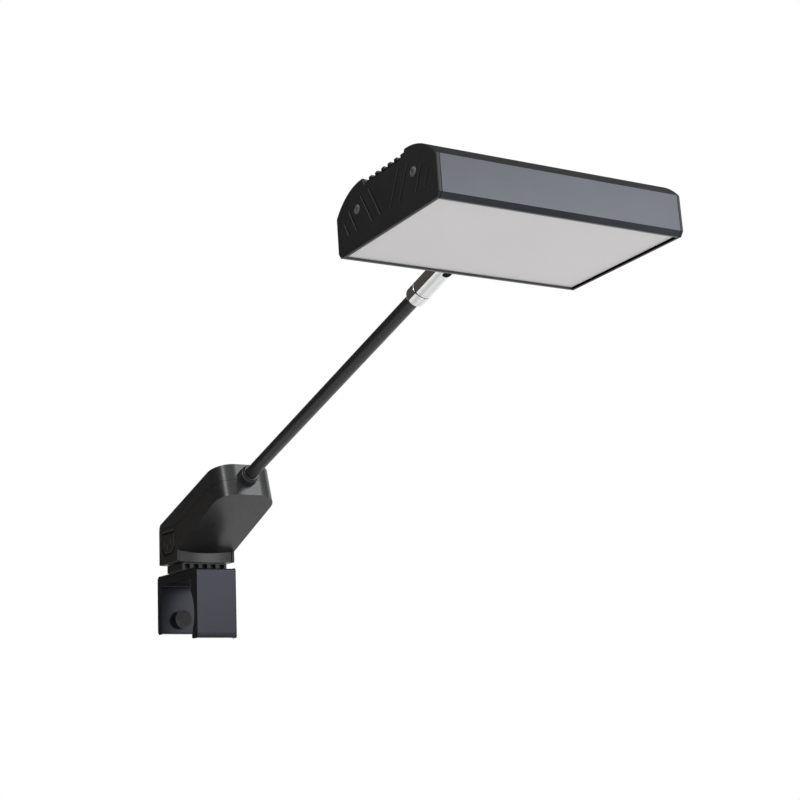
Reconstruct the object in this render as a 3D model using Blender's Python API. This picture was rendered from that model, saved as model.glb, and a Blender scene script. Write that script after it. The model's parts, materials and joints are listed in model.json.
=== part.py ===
"""Rail-mounted picture light: a screw clamp on a round rail carries a power housing, a straight arm
and a finned LED head that swivels and tilts on a forked knuckle.

Frame: metres, +Z up. The origin is on the rail's axis at the middle of the clamp. +X runs along the
rail, and the light reaches out towards -Y.
"""

import math

import bmesh
import bpy
import numpy as np
from mathutils import Matrix, Vector

MM = 0.001
GAP = 0.3 * MM  # clearance between pieces that touch

# Clamp on the rail
RAIL_R = 28.5 * MM
CLIP_WIDTH = 35 * MM
CLIP_FRONT = -35 * MM
CLIP_REAR = 43 * MM
CLIP_TOP = 36 * MM
CLIP_BOTTOM = -20.2 * MM
PLATE_THICKNESS = 7.4 * MM
LEG_THICKNESS = 10.5 * MM
HOOK_R = RAIL_R + 2 * MM  # hollow of the front leg that the liner lies in
LINER_THICKNESS = 1.6 * MM
REAR_LEG_THICKNESS = 8 * MM
REAR_LEG_BOTTOM = -12 * MM
CLAMP_SCREW_R = 3 * MM
CLAMP_TRAVEL = 3 * MM
PAD_R = 7.5 * MM
PAD_THICKNESS = 2.4 * MM
KNOB_R = 10 * MM
KNOB_LENGTH = 12 * MM
KNOB_GRIPS = 12
CLIP_SCREW_X = 10 * MM
CLIP_SCREW_Y = 2 * MM

# Ribbed shoe between clamp and housing
SHOE_WIDTH = 40.8 * MM
SHOE_FRONT = -13.4 * MM
SHOE_REAR = 17 * MM
SHOE_POCKETS = 5
POCKET_PITCH = 7.75 * MM
POCKET_WIDTH = 4.4 * MM
POCKET_DEPTH = 5 * MM

# Power housing. ARM_ANGLE is also the slope of its top face, and its end face is square to the arm.
ARM_ANGLE = math.radians(17.6)
UNDERSIDE_ANGLE = math.radians(22.3)
HOUSING_WIDTH = 51.6 * MM
FOOT_FRONT = -16.5 * MM
FOOT_REAR = 20.5 * MM
FOOT_BOTTOM = 43.2 * MM
LIP_HEIGHT = 9.2 * MM
LIP_HOLLOW = 4 * MM  # how far the middle of the foot's front face lies back
LIP_WALL = 1.7 * MM
END_CENTRE = Vector((0, -95.5 * MM, 101.5 * MM))  # the arm's axis in the housing's end face
TOP_ABOVE_AXIS = 11.2 * MM
SEAM_BELOW_AXIS = 2.6 * MM
END_BELOW_AXIS = 15.5 * MM
CORNER_R = 17 * MM
WALL = 2 * MM
PANEL_TOP = 73 * MM
REAR_CHAMFER = (2.4 * MM, 3.4 * MM)  # off the rear top corner, along Y and Z
PANEL_THICKNESS = 2.2 * MM
SHELL_SCREWS = ((16.5 * MM, -20 * MM), (20 * MM, -74 * MM))  # (half spacing, place along the arm's axis)
SHELL_POST_R = 3.4 * MM

# Mains connectors of the 10 A appliance pattern
SOCKET_CENTRE_Y = 3 * MM
SOCKET_CENTRE_Z = 59.9 * MM
SOCKET_HALF = (11.8 * MM, 7.75 * MM)
SOCKET_CHAMFER = (5 * MM, 5.4 * MM)
GROOVE_WIDTH = 2.2 * MM
GROOVE_DEPTH = 8 * MM
SOCKET_BODY_HALF = (15 * MM, 13.1 * MM)  # half depth along Y, near the panel and behind it
SOCKET_BODY_HALF_HEIGHT = 10.8 * MM
SOCKET_BODY_STEP = 9.8 * MM
CONTACT_SPACING = 14 * MM
CONTACT_Z = 1 * MM
EARTH_Z = -3 * MM
CONTACT_SIZE = (2 * MM, 4.4 * MM)  # across Y and Z
OUTLET_DEPTH = 13 * MM
INLET_DEPTH = 19 * MM
INLET_RECESS = 15 * MM

# Arm and knuckle, measured along the arm's axis from the housing's end face
ARM_R = 5 * MM
ARM_BORE_R = 3.6 * MM
ARM_LENGTH = 270 * MM
ARM_INSIDE = 14 * MM
ARM_IN_COLLAR = 7.5 * MM
BUSHING_STEPS = ((8 * MM, 0.5 * MM), (7.7 * MM, 5.8 * MM), (6.6 * MM, 6.2 * MM), (6.6 * MM, 8 * MM))
KNUCKLE_R = 7.5 * MM
COLLAR_LENGTH = 10.9 * MM
RING_THICKNESS = 0.8 * MM
SPIGOT_R = 3.2 * MM
SPIGOT_LENGTH = 20 * MM
SLOT_BOTTOM = 38 * MM  # from the collar's lower end
SLOT_CORNER_R = 2 * MM
PIVOT_AT = 44.6 * MM
SLOT_WIDTH = 6.6 * MM
TONGUE_THICKNESS = 6 * MM
TONGUE_R = 5.2 * MM
PIVOT_R = 2 * MM
PIVOT_HEAD_R = 3.4 * MM
PIVOT_HEAD = 2 * MM

# Head. Its own frame has the middle of the bottom face as origin, +Y to the rear and +Z up.
HEAD_ORIGIN = Vector((0, -466.3 * MM, 186.4 * MM))
HEAD_TILT = -2.9  # degrees about X
HEAD_LENGTH = 180.4 * MM
HEAD_HALF_DEPTH = 57.9 * MM
HEAD_TOP = 41.7 * MM
SHOULDER_R = 42 * MM
SHOULDER_Y = 25.6 * MM
FIN_ZONE = 24.9 * MM
WEB_TOP = 31 * MM
WEB_THICKNESS = 2.2 * MM
SKIN = 2.4 * MM
FIN_COUNT = 6
FIN_PITCH = 7.35 * MM
FIN_HALF = 0.9 * MM
FIN_HEAD_HALF = 1.9 * MM
FIN_HEAD = 1.7 * MM
EDGE_CHAMFER = (2.5 * MM, 3.3 * MM)
LIP_INNER = 52.5 * MM
LIP_THICKNESS = 2.2 * MM
CAP_THICKNESS = 2.2 * MM
CAP_NOTCH = 37.2 * MM
CAP_SCREW = (32.5 * MM, 24.5 * MM)
PORT_R = 3.2 * MM
CAP_SLOTS = (  # (bottom, top, height of the top) of the slanted vents on one side
    (5.5 * MM, 17.4 * MM, 32.7 * MM),
    (15.6 * MM, 27.1 * MM, 31.5 * MM),
    (34 * MM, 42 * MM, 26.5 * MM),
    (43.5 * MM, 48.6 * MM, 20.8 * MM),
)
CAP_SLOT_BOTTOM = 11.4 * MM
CAP_SLOT_WIDTH = 1.3 * MM
DIFFUSER_THICKNESS = 3 * MM
LED_BOARD = (80 * MM, 28 * MM, 1.6 * MM)  # half length, half depth, thickness
LED_COLUMNS = 13
LED_STRIP = (3.6 * MM, 0.8 * MM)  # width, height
FLANGE_HALF = (12 * MM, 8.5 * MM)
FLANGE_THICKNESS = 2.5 * MM
FLANGE_SCREW_X = 9 * MM

ROUND = 40  # sides of a large turned piece
SMALL_ROUND = 20


# ---- helpers -------------------------------------------------------------------------------------


def clear_scene():
    for obj in list(bpy.data.objects):
        bpy.data.objects.remove(obj)


def finish_of(name, color, roughness, metallic):
    found = bpy.data.materials.get(name)
    if found:
        return found
    made = bpy.data.materials.new(name)
    made.use_nodes = True
    shader = made.node_tree.nodes["Principled BSDF"]
    shader.inputs["Base Color"].default_value = (*color, 1)
    shader.inputs["Roughness"].default_value = roughness
    shader.inputs["Metallic"].default_value = metallic
    return made


def anodised():
    return finish_of("black_anodised_aluminium", (0.022, 0.022, 0.024), 0.38, 0.6)


def painted():
    return finish_of("black_powder_coat", (0.018, 0.018, 0.019), 0.5, 0.0)


def housing_plastic():
    return finish_of("black_satin_plastic", (0.024, 0.024, 0.025), 0.42, 0.0)


def dark_plastic():
    return finish_of("black_moulded_plastic", (0.015, 0.015, 0.015), 0.55, 0.0)


def rubber():
    return finish_of("liner_rubber", (0.05, 0.05, 0.052), 0.8, 0.0)


def chrome():
    return finish_of("polished_chrome", (0.82, 0.83, 0.84), 0.06, 1.0)


def steel():
    return finish_of("zinc_plated_steel", (0.55, 0.55, 0.53), 0.35, 1.0)


def black_steel():
    return finish_of("blackened_steel", (0.03, 0.03, 0.03), 0.35, 0.8)


def brass():
    return finish_of("nickel_plated_brass", (0.7, 0.66, 0.56), 0.28, 1.0)


def opal():
    return finish_of("opal_acrylic", (0.86, 0.86, 0.87), 0.5, 0.0)


def board_green():
    return finish_of("circuit_board", (0.03, 0.16, 0.07), 0.5, 0.0)


def lead_sheath():
    return finish_of("lead_sheath", (0.03, 0.03, 0.03), 0.6, 0.0)


def frame(name, location, angle_x=0.0, parent=None):
    """An empty that carries the pieces of one sub-assembly."""
    empty = bpy.data.objects.new(name, None)
    bpy.context.scene.collection.objects.link(empty)
    empty.location = location
    empty.rotation_euler = (angle_x, 0, 0)
    empty.parent = parent
    return empty


def add_object(name, mesh, finish, parent=None):
    obj = bpy.data.objects.new(name, mesh)
    bpy.context.scene.collection.objects.link(obj)
    obj.parent = parent
    if finish:
        mesh.materials.append(finish)
    return obj


def mesh_of(name, bm):
    bmesh.ops.recalc_face_normals(bm, faces=bm.faces)
    mesh = bpy.data.meshes.new(name)
    bm.to_mesh(mesh)
    bm.free()
    return mesh


def smooth(obj):
    obj.data.shade_smooth()
    obj.data.set_sharp_from_angle(angle=math.radians(30))
    return obj


def prism(name, outline, low, high, axis="X", finish=None, parent=None):
    """A closed outline carried straight from low to high along an axis.

    The outline's two numbers are (Y, Z) for X, (X, Z) for Y and (X, Y) for Z.
    """
    place = {
        "X": lambda u, v, h: (h, u, v),
        "Y": lambda u, v, h: (u, h, v),
        "Z": lambda u, v, h: (u, v, h),
    }[axis]
    bm = bmesh.new()
    face = bm.faces.new([bm.verts.new(place(u, v, low)) for u, v in outline])
    raised = bmesh.ops.extrude_face_region(bm, geom=[face])
    offset = Vector(place(0, 0, high - low))
    far_end = [v for v in raised["geom"] if isinstance(v, bmesh.types.BMVert)]
    bmesh.ops.translate(bm, verts=far_end, vec=offset)
    return add_object(name, mesh_of(name, bm), finish, parent)


def block(name, low, high, finish=None, parent=None):
    outline = [(low[0], low[1]), (high[0], low[1]), (high[0], high[1]), (low[0], high[1])]
    return prism(name, outline, low[2], high[2], "Z", finish, parent)


def turned(name, profile, sides=ROUND, axis="Z", origin=(0, 0, 0), finish=None, parent=None):
    """A profile of (radius, height) pairs turned about an axis; it closes on the axis or on itself."""
    bm = bmesh.new()
    rings = []
    for radius, height in profile:
        if radius == 0:
            rings.append([bm.verts.new((0, 0, height))])
            continue
        turns = [2 * math.pi * k / sides for k in range(sides)]
        rings.append([bm.verts.new((radius * math.cos(t), radius * math.sin(t), height)) for t in turns])
    pairs = list(zip(rings, rings[1:]))
    if profile[0][0] > 0:
        pairs.append((rings[-1], rings[0]))
    for first, second in pairs:
        for k in range(sides):
            corners = [first[k % len(first)], first[(k + 1) % sides % len(first)]]
            corners += [second[(k + 1) % sides % len(second)], second[k % len(second)]]
            bm.faces.new(list(dict.fromkeys(corners)))
    quarter = math.pi / 2
    turn = {
        "X": Matrix.Rotation(quarter, 4, "Y"),
        "Y": Matrix.Rotation(-quarter, 4, "X"),
        "Z": Matrix(),
    }
    bm.transform(Matrix.Translation(origin) @ turn[axis])
    return smooth(add_object(name, mesh_of(name, bm), finish, parent))


def rod(name, radius, low, high, sides=SMALL_ROUND, axis="Z", origin=(0, 0, 0), finish=None, parent=None):
    profile = [(0, low), (radius, low), (radius, high), (0, high)]
    return turned(name, profile, sides, axis, origin, finish, parent)


def combine(obj, tool, operation="DIFFERENCE"):
    """Adds a Boolean modifier; the tool stays in the scene as a hidden helper."""
    tool.hide_render = True
    tool.display_type = "WIRE"
    modifier = obj.modifiers.new(tool.name, "BOOLEAN")
    modifier.operation = operation
    modifier.object = tool
    return obj


def arc(centre, radius, start, end, steps):
    """Points of a circular arc, angles in degrees."""
    turns = np.radians(np.linspace(start, end, steps + 1))
    return [(centre[0] + radius * math.cos(t), centre[1] + radius * math.sin(t)) for t in turns]


def inset(outline, distance):
    """The outline moved inwards by a distance, each corner on the bisector of its two sides.

    The outline runs anticlockwise.
    """
    points = np.array(outline)
    before = points - np.roll(points, 1, axis=0)
    after = np.roll(points, -1, axis=0) - points
    normals = [np.stack([-side[:, 1], side[:, 0]], 1) for side in (before, after)]
    n0, n1 = (n / np.linalg.norm(n, axis=1, keepdims=True) for n in normals)
    bisector = (n0 + n1) / (1 + (n0 * n1).sum(1, keepdims=True))
    return [tuple(p) for p in points + distance * bisector]


def rounded_rectangle(half_width, half_height, radius, steps=4):
    points = []
    for k, (sx, sy) in enumerate(((1, 1), (-1, 1), (-1, -1), (1, -1))):
        centre = (sx * (half_width - radius), sy * (half_height - radius))
        points += arc(centre, radius, 90 * k, 90 * k + 90, steps)
    return points


# ---- clamp ---------------------------------------------------------------------------------------


def clip_outline():
    """Side view of the hook: front leg hollowed to the rail, flat top plate, straight rear leg."""
    under = CLIP_TOP - PLATE_THICKNESS
    leg_inner = CLIP_FRONT + LEG_THICKNESS
    top_turn = math.degrees(math.acos(leg_inner / HOOK_R))
    rear_inner = CLIP_REAR - REAR_LEG_THICKNESS
    tip_r = 3.2 * MM
    tip = (CLIP_FRONT + 6.2 * MM, CLIP_BOTTOM + tip_r)
    groove = CLIP_BOTTOM + 3 * MM
    points = [(rear_inner, under), (leg_inner, under)]
    points += arc((0, 0), HOOK_R, top_turn, 213, 14)
    points += arc(tip, tip_r, 10, -110, 5)
    points += [(CLIP_FRONT + 1.2 * MM, CLIP_BOTTOM + 0.6 * MM), (CLIP_FRONT, groove - 0.8 * MM)]
    points += [(CLIP_FRONT + 0.7 * MM, groove), (CLIP_FRONT, groove + 0.6 * MM)]
    points += arc((CLIP_FRONT + 1.8 * MM, CLIP_TOP - 1.8 * MM), 1.8 * MM, 180, 90, 3)
    points += arc((CLIP_REAR - 3 * MM, CLIP_TOP - 3 * MM), 3 * MM, 90, 0, 4)
    points += arc((CLIP_REAR - 3 * MM, REAR_LEG_BOTTOM + 3 * MM), 3 * MM, 0, -90, 4)
    points += [(rear_inner + MM, REAR_LEG_BOTTOM), (rear_inner, REAR_LEG_BOTTOM + MM)]
    return points


def clip_screw_profile(head_r, shank_r, head_z, tip_z):
    """Countersunk screw standing head down; head_z is the flat of its head."""
    return [(0, head_z), (head_r, head_z), (shank_r, head_z + head_r - shank_r), (shank_r, tip_z), (0, tip_z)]


def make_clip():
    half = CLIP_WIDTH / 2
    clip = prism("rail_clip", clip_outline(), -half, half, "X", anodised())
    bore = rod("clamp_bore", CLAMP_SCREW_R + GAP, CLIP_REAR - 12 * MM, CLIP_REAR + 2 * MM, axis="Y")
    combine(clip, bore)
    under = CLIP_TOP - PLATE_THICKNESS
    for side in (-1, 1):
        profile = clip_screw_profile(4.4 * MM, 2.3 * MM, under - 0.2 * MM, CLIP_TOP + MM)
        hole = turned(f"clip_sink{side}", profile, SMALL_ROUND, origin=(side * CLIP_SCREW_X, CLIP_SCREW_Y, 0))
        combine(clip, hole)


def make_liner():
    """Grip strip in the hollow of the front leg, straight in the corner under the plate."""
    inner_r = RAIL_R + 0.1 * MM
    outer_r = HOOK_R - GAP
    outer_x = CLIP_FRONT + LEG_THICKNESS + GAP
    inner_x = outer_x + 2.9 * MM
    top = CLIP_TOP - PLATE_THICKNESS - GAP
    inner_turn = math.degrees(math.acos(inner_x / inner_r))
    outer_turn = math.degrees(math.acos(outer_x / outer_r))
    outline = arc((0, 0), outer_r, 210, outer_turn, 12)
    outline += [(outer_x, top), (inner_x, top)]
    outline += arc((0, 0), inner_r, inner_turn, 210, 12)
    half = CLIP_WIDTH / 2 - 0.5 * MM
    prism("rail_liner", outline[::-1], -half, half, "X", rubber())


def make_clamp_screw():
    """Pressure pad that slides on the screw's nose, the screw, and its grip knob."""
    pad_axis = frame("pad_axis", (0, RAIL_R + 0.1 * MM, 0))
    profile = [
        (0, 0),
        (PAD_R, 0),
        (PAD_R, PAD_THICKNESS - 0.6 * MM),
        (PAD_R - 0.6 * MM, PAD_THICKNESS),
        (CLAMP_SCREW_R - 0.7 * MM, PAD_THICKNESS),
        (CLAMP_SCREW_R - 0.7 * MM, 1.2 * MM),
        (0, 1.2 * MM),
    ]
    turned("pressure_pad", profile, 28, "Y", finish=rubber(), parent=pad_axis)
    nose_r = CLAMP_SCREW_R - MM
    nose = 1.2 * MM + GAP
    end = CLIP_REAR - RAIL_R + CLAMP_TRAVEL + 8 * MM
    profile = [
        (0, nose),
        (nose_r, nose),
        (nose_r, PAD_THICKNESS + GAP),
        (CLAMP_SCREW_R, PAD_THICKNESS + 2 * GAP),
        (CLAMP_SCREW_R, end),
        (0, end),
    ]
    turned("clamp_screw", profile, SMALL_ROUND, "Y", finish=steel(), parent=pad_axis)
    start = CLIP_REAR - RAIL_R + MM
    knob = prism("clamp_knob", knob_outline(), start, start + KNOB_LENGTH, "Y", dark_plastic(), pad_axis)
    hole = rod("knob_hole", CLAMP_SCREW_R + GAP, start - MM, end + GAP, axis="Y", parent=pad_axis)
    combine(knob, hole)


def knob_outline():
    """Scalloped circle: the radius dips once for each finger grip."""
    turns = np.linspace(0, 2 * math.pi, 6 * KNOB_GRIPS, endpoint=False)
    radii = KNOB_R - 0.5 * MM * (1 - np.cos(KNOB_GRIPS * turns))
    return [(r * math.cos(t), r * math.sin(t)) for r, t in zip(radii, turns)]


def make_shoe():
    """Ribbed plate: a row of open pockets along its front and rear edges."""
    low, high = CLIP_TOP + GAP, FOOT_BOTTOM - GAP
    half = SHOE_WIDTH / 2
    shoe = block("shoe_plate", (-half, SHOE_FRONT, low), (half, SHOE_REAR, high), dark_plastic())
    for k in range(SHOE_POCKETS):
        x = (k - (SHOE_POCKETS - 1) / 2) * POCKET_PITCH
        for edge, name in ((SHOE_FRONT, "front"), (SHOE_REAR, "rear")):
            corner = (x - POCKET_WIDTH / 2, edge - POCKET_DEPTH, low + 1.2 * MM)
            far = (x + POCKET_WIDTH / 2, edge + POCKET_DEPTH, high - 1.3 * MM)
            combine(shoe, block(f"shoe_pocket_{name}_{k}", corner, far))
    for side in (-1, 1):
        at = (side * CLIP_SCREW_X, CLIP_SCREW_Y, 0)
        combine(shoe, rod(f"shoe_hole{side}", 2.3 * MM, low - MM, high + MM, origin=at))


def make_clip_screws():
    head_z = CLIP_TOP - PLATE_THICKNESS + 0.2 * MM
    for side, name in ((-1, "left"), (1, "right")):
        profile = clip_screw_profile(3.9 * MM, 2 * MM, head_z, FOOT_BOTTOM + 4 * MM)
        at = (side * CLIP_SCREW_X, CLIP_SCREW_Y, 0)
        turned(f"clip_screw_{name}", profile, SMALL_ROUND, origin=at, finish=steel())


# ---- power housing -------------------------------------------------------------------------------


def along_arm(y, z):
    """A point of the side view given by its height over the arm's axis and its place along it."""
    c, s = math.cos(ARM_ANGLE), math.sin(ARM_ANGLE)
    return (END_CENTRE.y + y * s - z * c, END_CENTRE.z + y * c + z * s)


def housing_side():
    """Side view of the whole housing: foot, sloping underside, square end, top face."""
    end_low = along_arm(-END_BELOW_AXIS, 0)
    end_high = along_arm(TOP_ABOVE_AXIS, 0)
    rear_top = end_high[1] - (FOOT_REAR - end_high[0]) * math.tan(ARM_ANGLE)
    lip = FOOT_BOTTOM + LIP_HEIGHT
    back, down = REAR_CHAMFER
    points = [(FOOT_FRONT, FOOT_BOTTOM), (FOOT_REAR, FOOT_BOTTOM), (FOOT_REAR, rear_top - down)]
    points += [(FOOT_REAR - back, rear_top + back * math.tan(ARM_ANGLE))]
    return points + [end_high, end_low, (FOOT_FRONT, lip)]


def housing_plan(margin=0.0):
    """View square to the top face, as (X, place along the arm's axis), with a rounded far end."""
    half = HOUSING_WIDTH / 2 - margin
    radius = CORNER_R - margin
    far, near = -margin, -150 * MM
    points = [(-half, near), (half, near)]
    points += arc((half - radius, far - radius), radius, 0, 90, 8)
    points += arc((radius - half, far - radius), radius, 90, 180, 8)
    return points


def foot_hollow(name, margin=0.0):
    """Wedge under the extended underside, limited by an upright cylinder: what hollows the foot's front."""
    slope = math.tan(UNDERSIDE_ANGLE)
    lip = FOOT_BOTTOM + LIP_HEIGHT + margin / math.cos(UNDERSIDE_ANGLE)
    front, rear, low = FOOT_FRONT - 14 * MM, FOOT_FRONT + 9 * MM, FOOT_BOTTOM - 2 * MM
    side = [(front, low), (rear, low), (rear, lip - slope * (rear - FOOT_FRONT)), (FOOT_FRONT, lip)]
    half = HOUSING_WIDTH / 2
    wedge = prism(name, side + [(front, lip)], -half - MM, half + MM)
    radius = (half**2 + LIP_HOLLOW**2) / (2 * LIP_HOLLOW)
    at = (0, FOOT_FRONT + LIP_HOLLOW - radius, 0)
    drum = rod(f"{name}_drum", radius + margin, low - MM, lip + MM, 192, "Z", at)
    return combine(wedge, drum, "INTERSECT")


def plan_prism(name, margin, low, high, parent):
    """The plan carried square to the top face. The frame's Y is up, its Z along the arm."""
    return prism(name, housing_plan(margin), low, high, "Y", parent=parent)


def make_shells(arm_frame):
    """Two shells with a common seam; the side faces of the foot are open for the two sockets."""
    half = HOUSING_WIDTH / 2
    far = 200 * MM
    for name, low, high in (
        ("lower_shell", -far, -SEAM_BELOW_AXIS - GAP / 2),
        ("upper_shell", -SEAM_BELOW_AXIS + GAP / 2, far),
    ):
        shell = prism(name, housing_side(), -half, half, "X", housing_plastic())
        combine(shell, plan_prism(f"{name}_plan", 0, low, high, arm_frame), "INTERSECT")
        hollow = prism(f"{name}_hollow", inset(housing_side(), WALL), WALL - half, half - WALL, "X")
        combine(hollow, plan_prism(f"{name}_hollow_plan", WALL, -far, far, arm_frame), "INTERSECT")
        if name == "lower_shell":
            combine(hollow, foot_hollow("hollow_front", LIP_WALL))
            combine(shell, foot_hollow("shell_front"))
        combine(shell, hollow)
        add_posts(shell, name == "upper_shell", arm_frame)
        for side in (-1, 1):
            edges = sorted((side * (half - PANEL_THICKNESS - GAP), side * (half + MM)))
            low_corner = (edges[0], FOOT_FRONT - MM, FOOT_BOTTOM - MM)
            high_corner = (edges[1], FOOT_REAR + MM, PANEL_TOP + GAP)
            combine(shell, block(f"{name}_side{side}", low_corner, high_corner))
        bore = rod(f"{name}_bore", ARM_R + GAP, -WALL - 4 * MM, MM, 32, parent=arm_frame)
        combine(shell, bore)


def shell_screw_places():
    return [(side * x, z) for x, z in SHELL_SCREWS for side in (-1, 1)]


def add_posts(shell, upper, arm_frame):
    """Screw posts that meet at the seam, and the bosses in the foot's floor for the clamp screws."""
    name = shell.name
    seam = -SEAM_BELOW_AXIS
    for k, (x, z) in enumerate(shell_screw_places()):
        at = (x, 0, z)
        floor = -END_BELOW_AXIS + z * math.tan(UNDERSIDE_ANGLE - ARM_ANGLE) + MM
        low, high = (seam + GAP / 2, TOP_ABOVE_AXIS - MM) if upper else (floor, seam - GAP / 2)
        post = rod(f"{name}_post{k}", SHELL_POST_R, low, high, SMALL_ROUND, "Y", at, parent=arm_frame)
        combine(shell, post, "UNION")
        if upper:
            profile = [(0, seam - MM), (1.8 * MM, seam - MM), (1.8 * MM, 6 * MM), (3.1 * MM, 6 * MM)]
            profile += [(3.1 * MM, TOP_ABOVE_AXIS + MM), (0, TOP_ABOVE_AXIS + MM)]
        else:
            profile = [(0, seam - 8 * MM), (1.8 * MM, seam - 8 * MM), (1.8 * MM, seam + MM), (0, seam + MM)]
        combine(shell, turned(f"{name}_hole{k}", profile, SMALL_ROUND, "Y", at, parent=arm_frame))
    if upper:
        return
    for side in (-1, 1):
        at = (side * CLIP_SCREW_X, CLIP_SCREW_Y, 0)
        boss = rod(f"boss{side}", 3.8 * MM, FOOT_BOTTOM + MM, FOOT_BOTTOM + 5 * MM, origin=at)
        combine(shell, boss, "UNION")
        hole = rod(f"boss_hole{side}", 2.3 * MM, FOOT_BOTTOM - MM, FOOT_BOTTOM + 4.3 * MM, origin=at)
        combine(shell, hole)


def make_shell_screws(arm_frame):
    seam = -SEAM_BELOW_AXIS
    for k, (x, z) in enumerate(shell_screw_places()):
        shank, head, low, seat = 1.5 * MM, 2.7 * MM, seam - 7.5 * MM, 6 * MM + GAP
        profile = [(0, low), (shank, low), (shank, seat), (head, seat), (head, seat + 1.4 * MM)]
        profile += [(head - 0.6 * MM, seat + 2 * MM), (0, seat + 2 * MM)]
        turned(f"shell_screw_{k + 1}", profile, SMALL_ROUND, "Y", (x, 0, z), black_steel(), arm_frame)


def socket_outline(margin=0.0):
    """Rectangle with its two lower corners cut off, about the socket's centre, as (Y, Z)."""
    half_y, half_z = SOCKET_HALF
    cut_y, cut_z = SOCKET_CHAMFER
    points = [(-half_y, half_z), (-half_y, cut_z - half_z), (cut_y - half_y, -half_z)]
    points += [(half_y - cut_y, -half_z), (half_y, cut_z - half_z), (half_y, half_z)]
    grown = inset(points, -margin) if margin else points
    return [(y + SOCKET_CENTRE_Y, z + SOCKET_CENTRE_Z) for y, z in grown]


def panel_and_body(name, side, depth):
    """Side panel of the foot with the connector's body behind it."""
    outer = HOUSING_WIDTH / 2
    inner = outer - PANEL_THICKNESS
    edges = sorted((side * outer, side * inner))
    low, high = (edges[0], FOOT_FRONT, FOOT_BOTTOM), (edges[1], FOOT_REAR, PANEL_TOP)
    socket = block(name, low, high, dark_plastic())
    step = outer - SOCKET_BODY_STEP
    for half_depth, near, far in zip(SOCKET_BODY_HALF, (inner + MM, step + MM), (step, outer - depth)):
        body = rounded_rectangle(half_depth, SOCKET_BODY_HALF_HEIGHT, 1.5 * MM, 2)
        body = [(y + SOCKET_CENTRE_Y, z + SOCKET_CENTRE_Z) for y, z in body]
        edges = sorted((side * near, side * far))
        combine(socket, prism(f"{name}_body{far}", body, edges[0], edges[1]), "UNION")
    return socket


def contact_places():
    half = CONTACT_SPACING / 2
    return (("line", -half, CONTACT_Z), ("neutral", half, CONTACT_Z), ("earth", 0, EARTH_Z))


def contact_box(side, y, z, near, far, margin):
    """Upright flat bar or slot at one contact's place, from near to far across X."""
    half_y, half_z = CONTACT_SIZE[0] / 2 + margin, CONTACT_SIZE[1] / 2 + margin
    edges = sorted((side * near, side * far))
    centre = (SOCKET_CENTRE_Y + y, SOCKET_CENTRE_Z + z)
    low = (edges[0], centre[0] - half_y, centre[1] - half_z)
    return low, (edges[1], centre[0] + half_y, centre[1] + half_z)


def make_link_outlet():
    """Female outlet on the left: an island with three slots inside a moulded groove."""
    outer = HOUSING_WIDTH / 2
    outlet = panel_and_body("link_outlet", -1, OUTLET_DEPTH)
    groove = prism("groove", socket_outline(GROOVE_WIDTH), -outer - MM, -outer + GROOVE_DEPTH)
    island = prism("island", socket_outline(), -outer - 2 * MM, -outer + GROOVE_DEPTH + MM)
    combine(outlet, combine(groove, island))
    for name, y, z in contact_places():
        slot = contact_box(-1, y, z, outer + MM, outer - OUTLET_DEPTH + 2 * MM, 0.0)
        combine(outlet, block(f"slot_{name}", *slot))
        contact = contact_box(-1, y, z, outer - 1.6 * MM, outer - OUTLET_DEPTH + 2 * MM + GAP, -GAP)
        block(f"outlet_contact_{name}", *contact, brass())


def make_mains_inlet():
    """Male inlet on the right: a recess with three flat pins."""
    outer = HOUSING_WIDTH / 2
    inlet = panel_and_body("mains_inlet", 1, INLET_DEPTH)
    recess = prism("inlet_recess", socket_outline(0.3 * MM), outer - INLET_RECESS, outer + MM)
    combine(inlet, recess)
    for name, y, z in contact_places():
        seat = contact_box(1, y, z, outer - INLET_RECESS + MM, outer - INLET_DEPTH - MM, GAP)
        combine(inlet, block(f"pin_seat_{name}", *seat))
        pin = contact_box(1, y, z, outer - 4 * MM, outer - INLET_DEPTH - 0.5 * MM, 0.0)
        block(f"inlet_pin_{name}", *pin, brass())


def make_driver(arm_frame):
    """Circuit board in the housing with its transformer and smoothing capacitor."""
    top = -7 * MM
    low, high = (-12.5 * MM, top - 1.6 * MM, -68 * MM), (12.5 * MM, top, -16 * MM)
    block("driver_board", low, high, board_green(), arm_frame)
    low, high = (-8 * MM, top + GAP, -60 * MM), (8 * MM, top + 13 * MM, -42 * MM)
    block("driver_transformer", low, high, dark_plastic(), arm_frame)
    radius = 5 * MM
    at = (0, top + GAP + radius, 0)
    rod("driver_capacitor", radius, -34 * MM, -20 * MM, 24, "Z", at, dark_plastic(), arm_frame)


# ---- arm and knuckle -----------------------------------------------------------------------------


def make_arm(arm_frame):
    hole = ARM_R + GAP
    profile = [(hole, GAP), *[(r, z) for r, z in BUSHING_STEPS], (hole, BUSHING_STEPS[-1][1])]
    turned("arm_bushing", profile, ROUND, finish=painted(), parent=arm_frame)
    hexagon = [(9.2 * MM * math.cos(t), 9.2 * MM * math.sin(t)) for t in np.radians(np.arange(0, 360, 60))]
    nut = prism("arm_nut", hexagon, -WALL - GAP - 4 * MM, -WALL - GAP, "Z", steel(), arm_frame)
    combine(nut, rod("nut_hole", hole, -WALL - 6 * MM, -WALL + MM, 24, parent=arm_frame))
    end = ARM_LENGTH + ARM_IN_COLLAR
    profile = [(ARM_BORE_R, -ARM_INSIDE), (ARM_R, -ARM_INSIDE), (ARM_R, end), (ARM_BORE_R, end)]
    turned("arm_tube", profile, 32, finish=painted(), parent=arm_frame)
    lead_end = ARM_LENGTH - SPIGOT_LENGTH + COLLAR_LENGTH
    rod("arm_lead", 2 * MM, -ARM_INSIDE - 2 * MM, lead_end - MM, 12, finish=lead_sheath(), parent=arm_frame)


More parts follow.
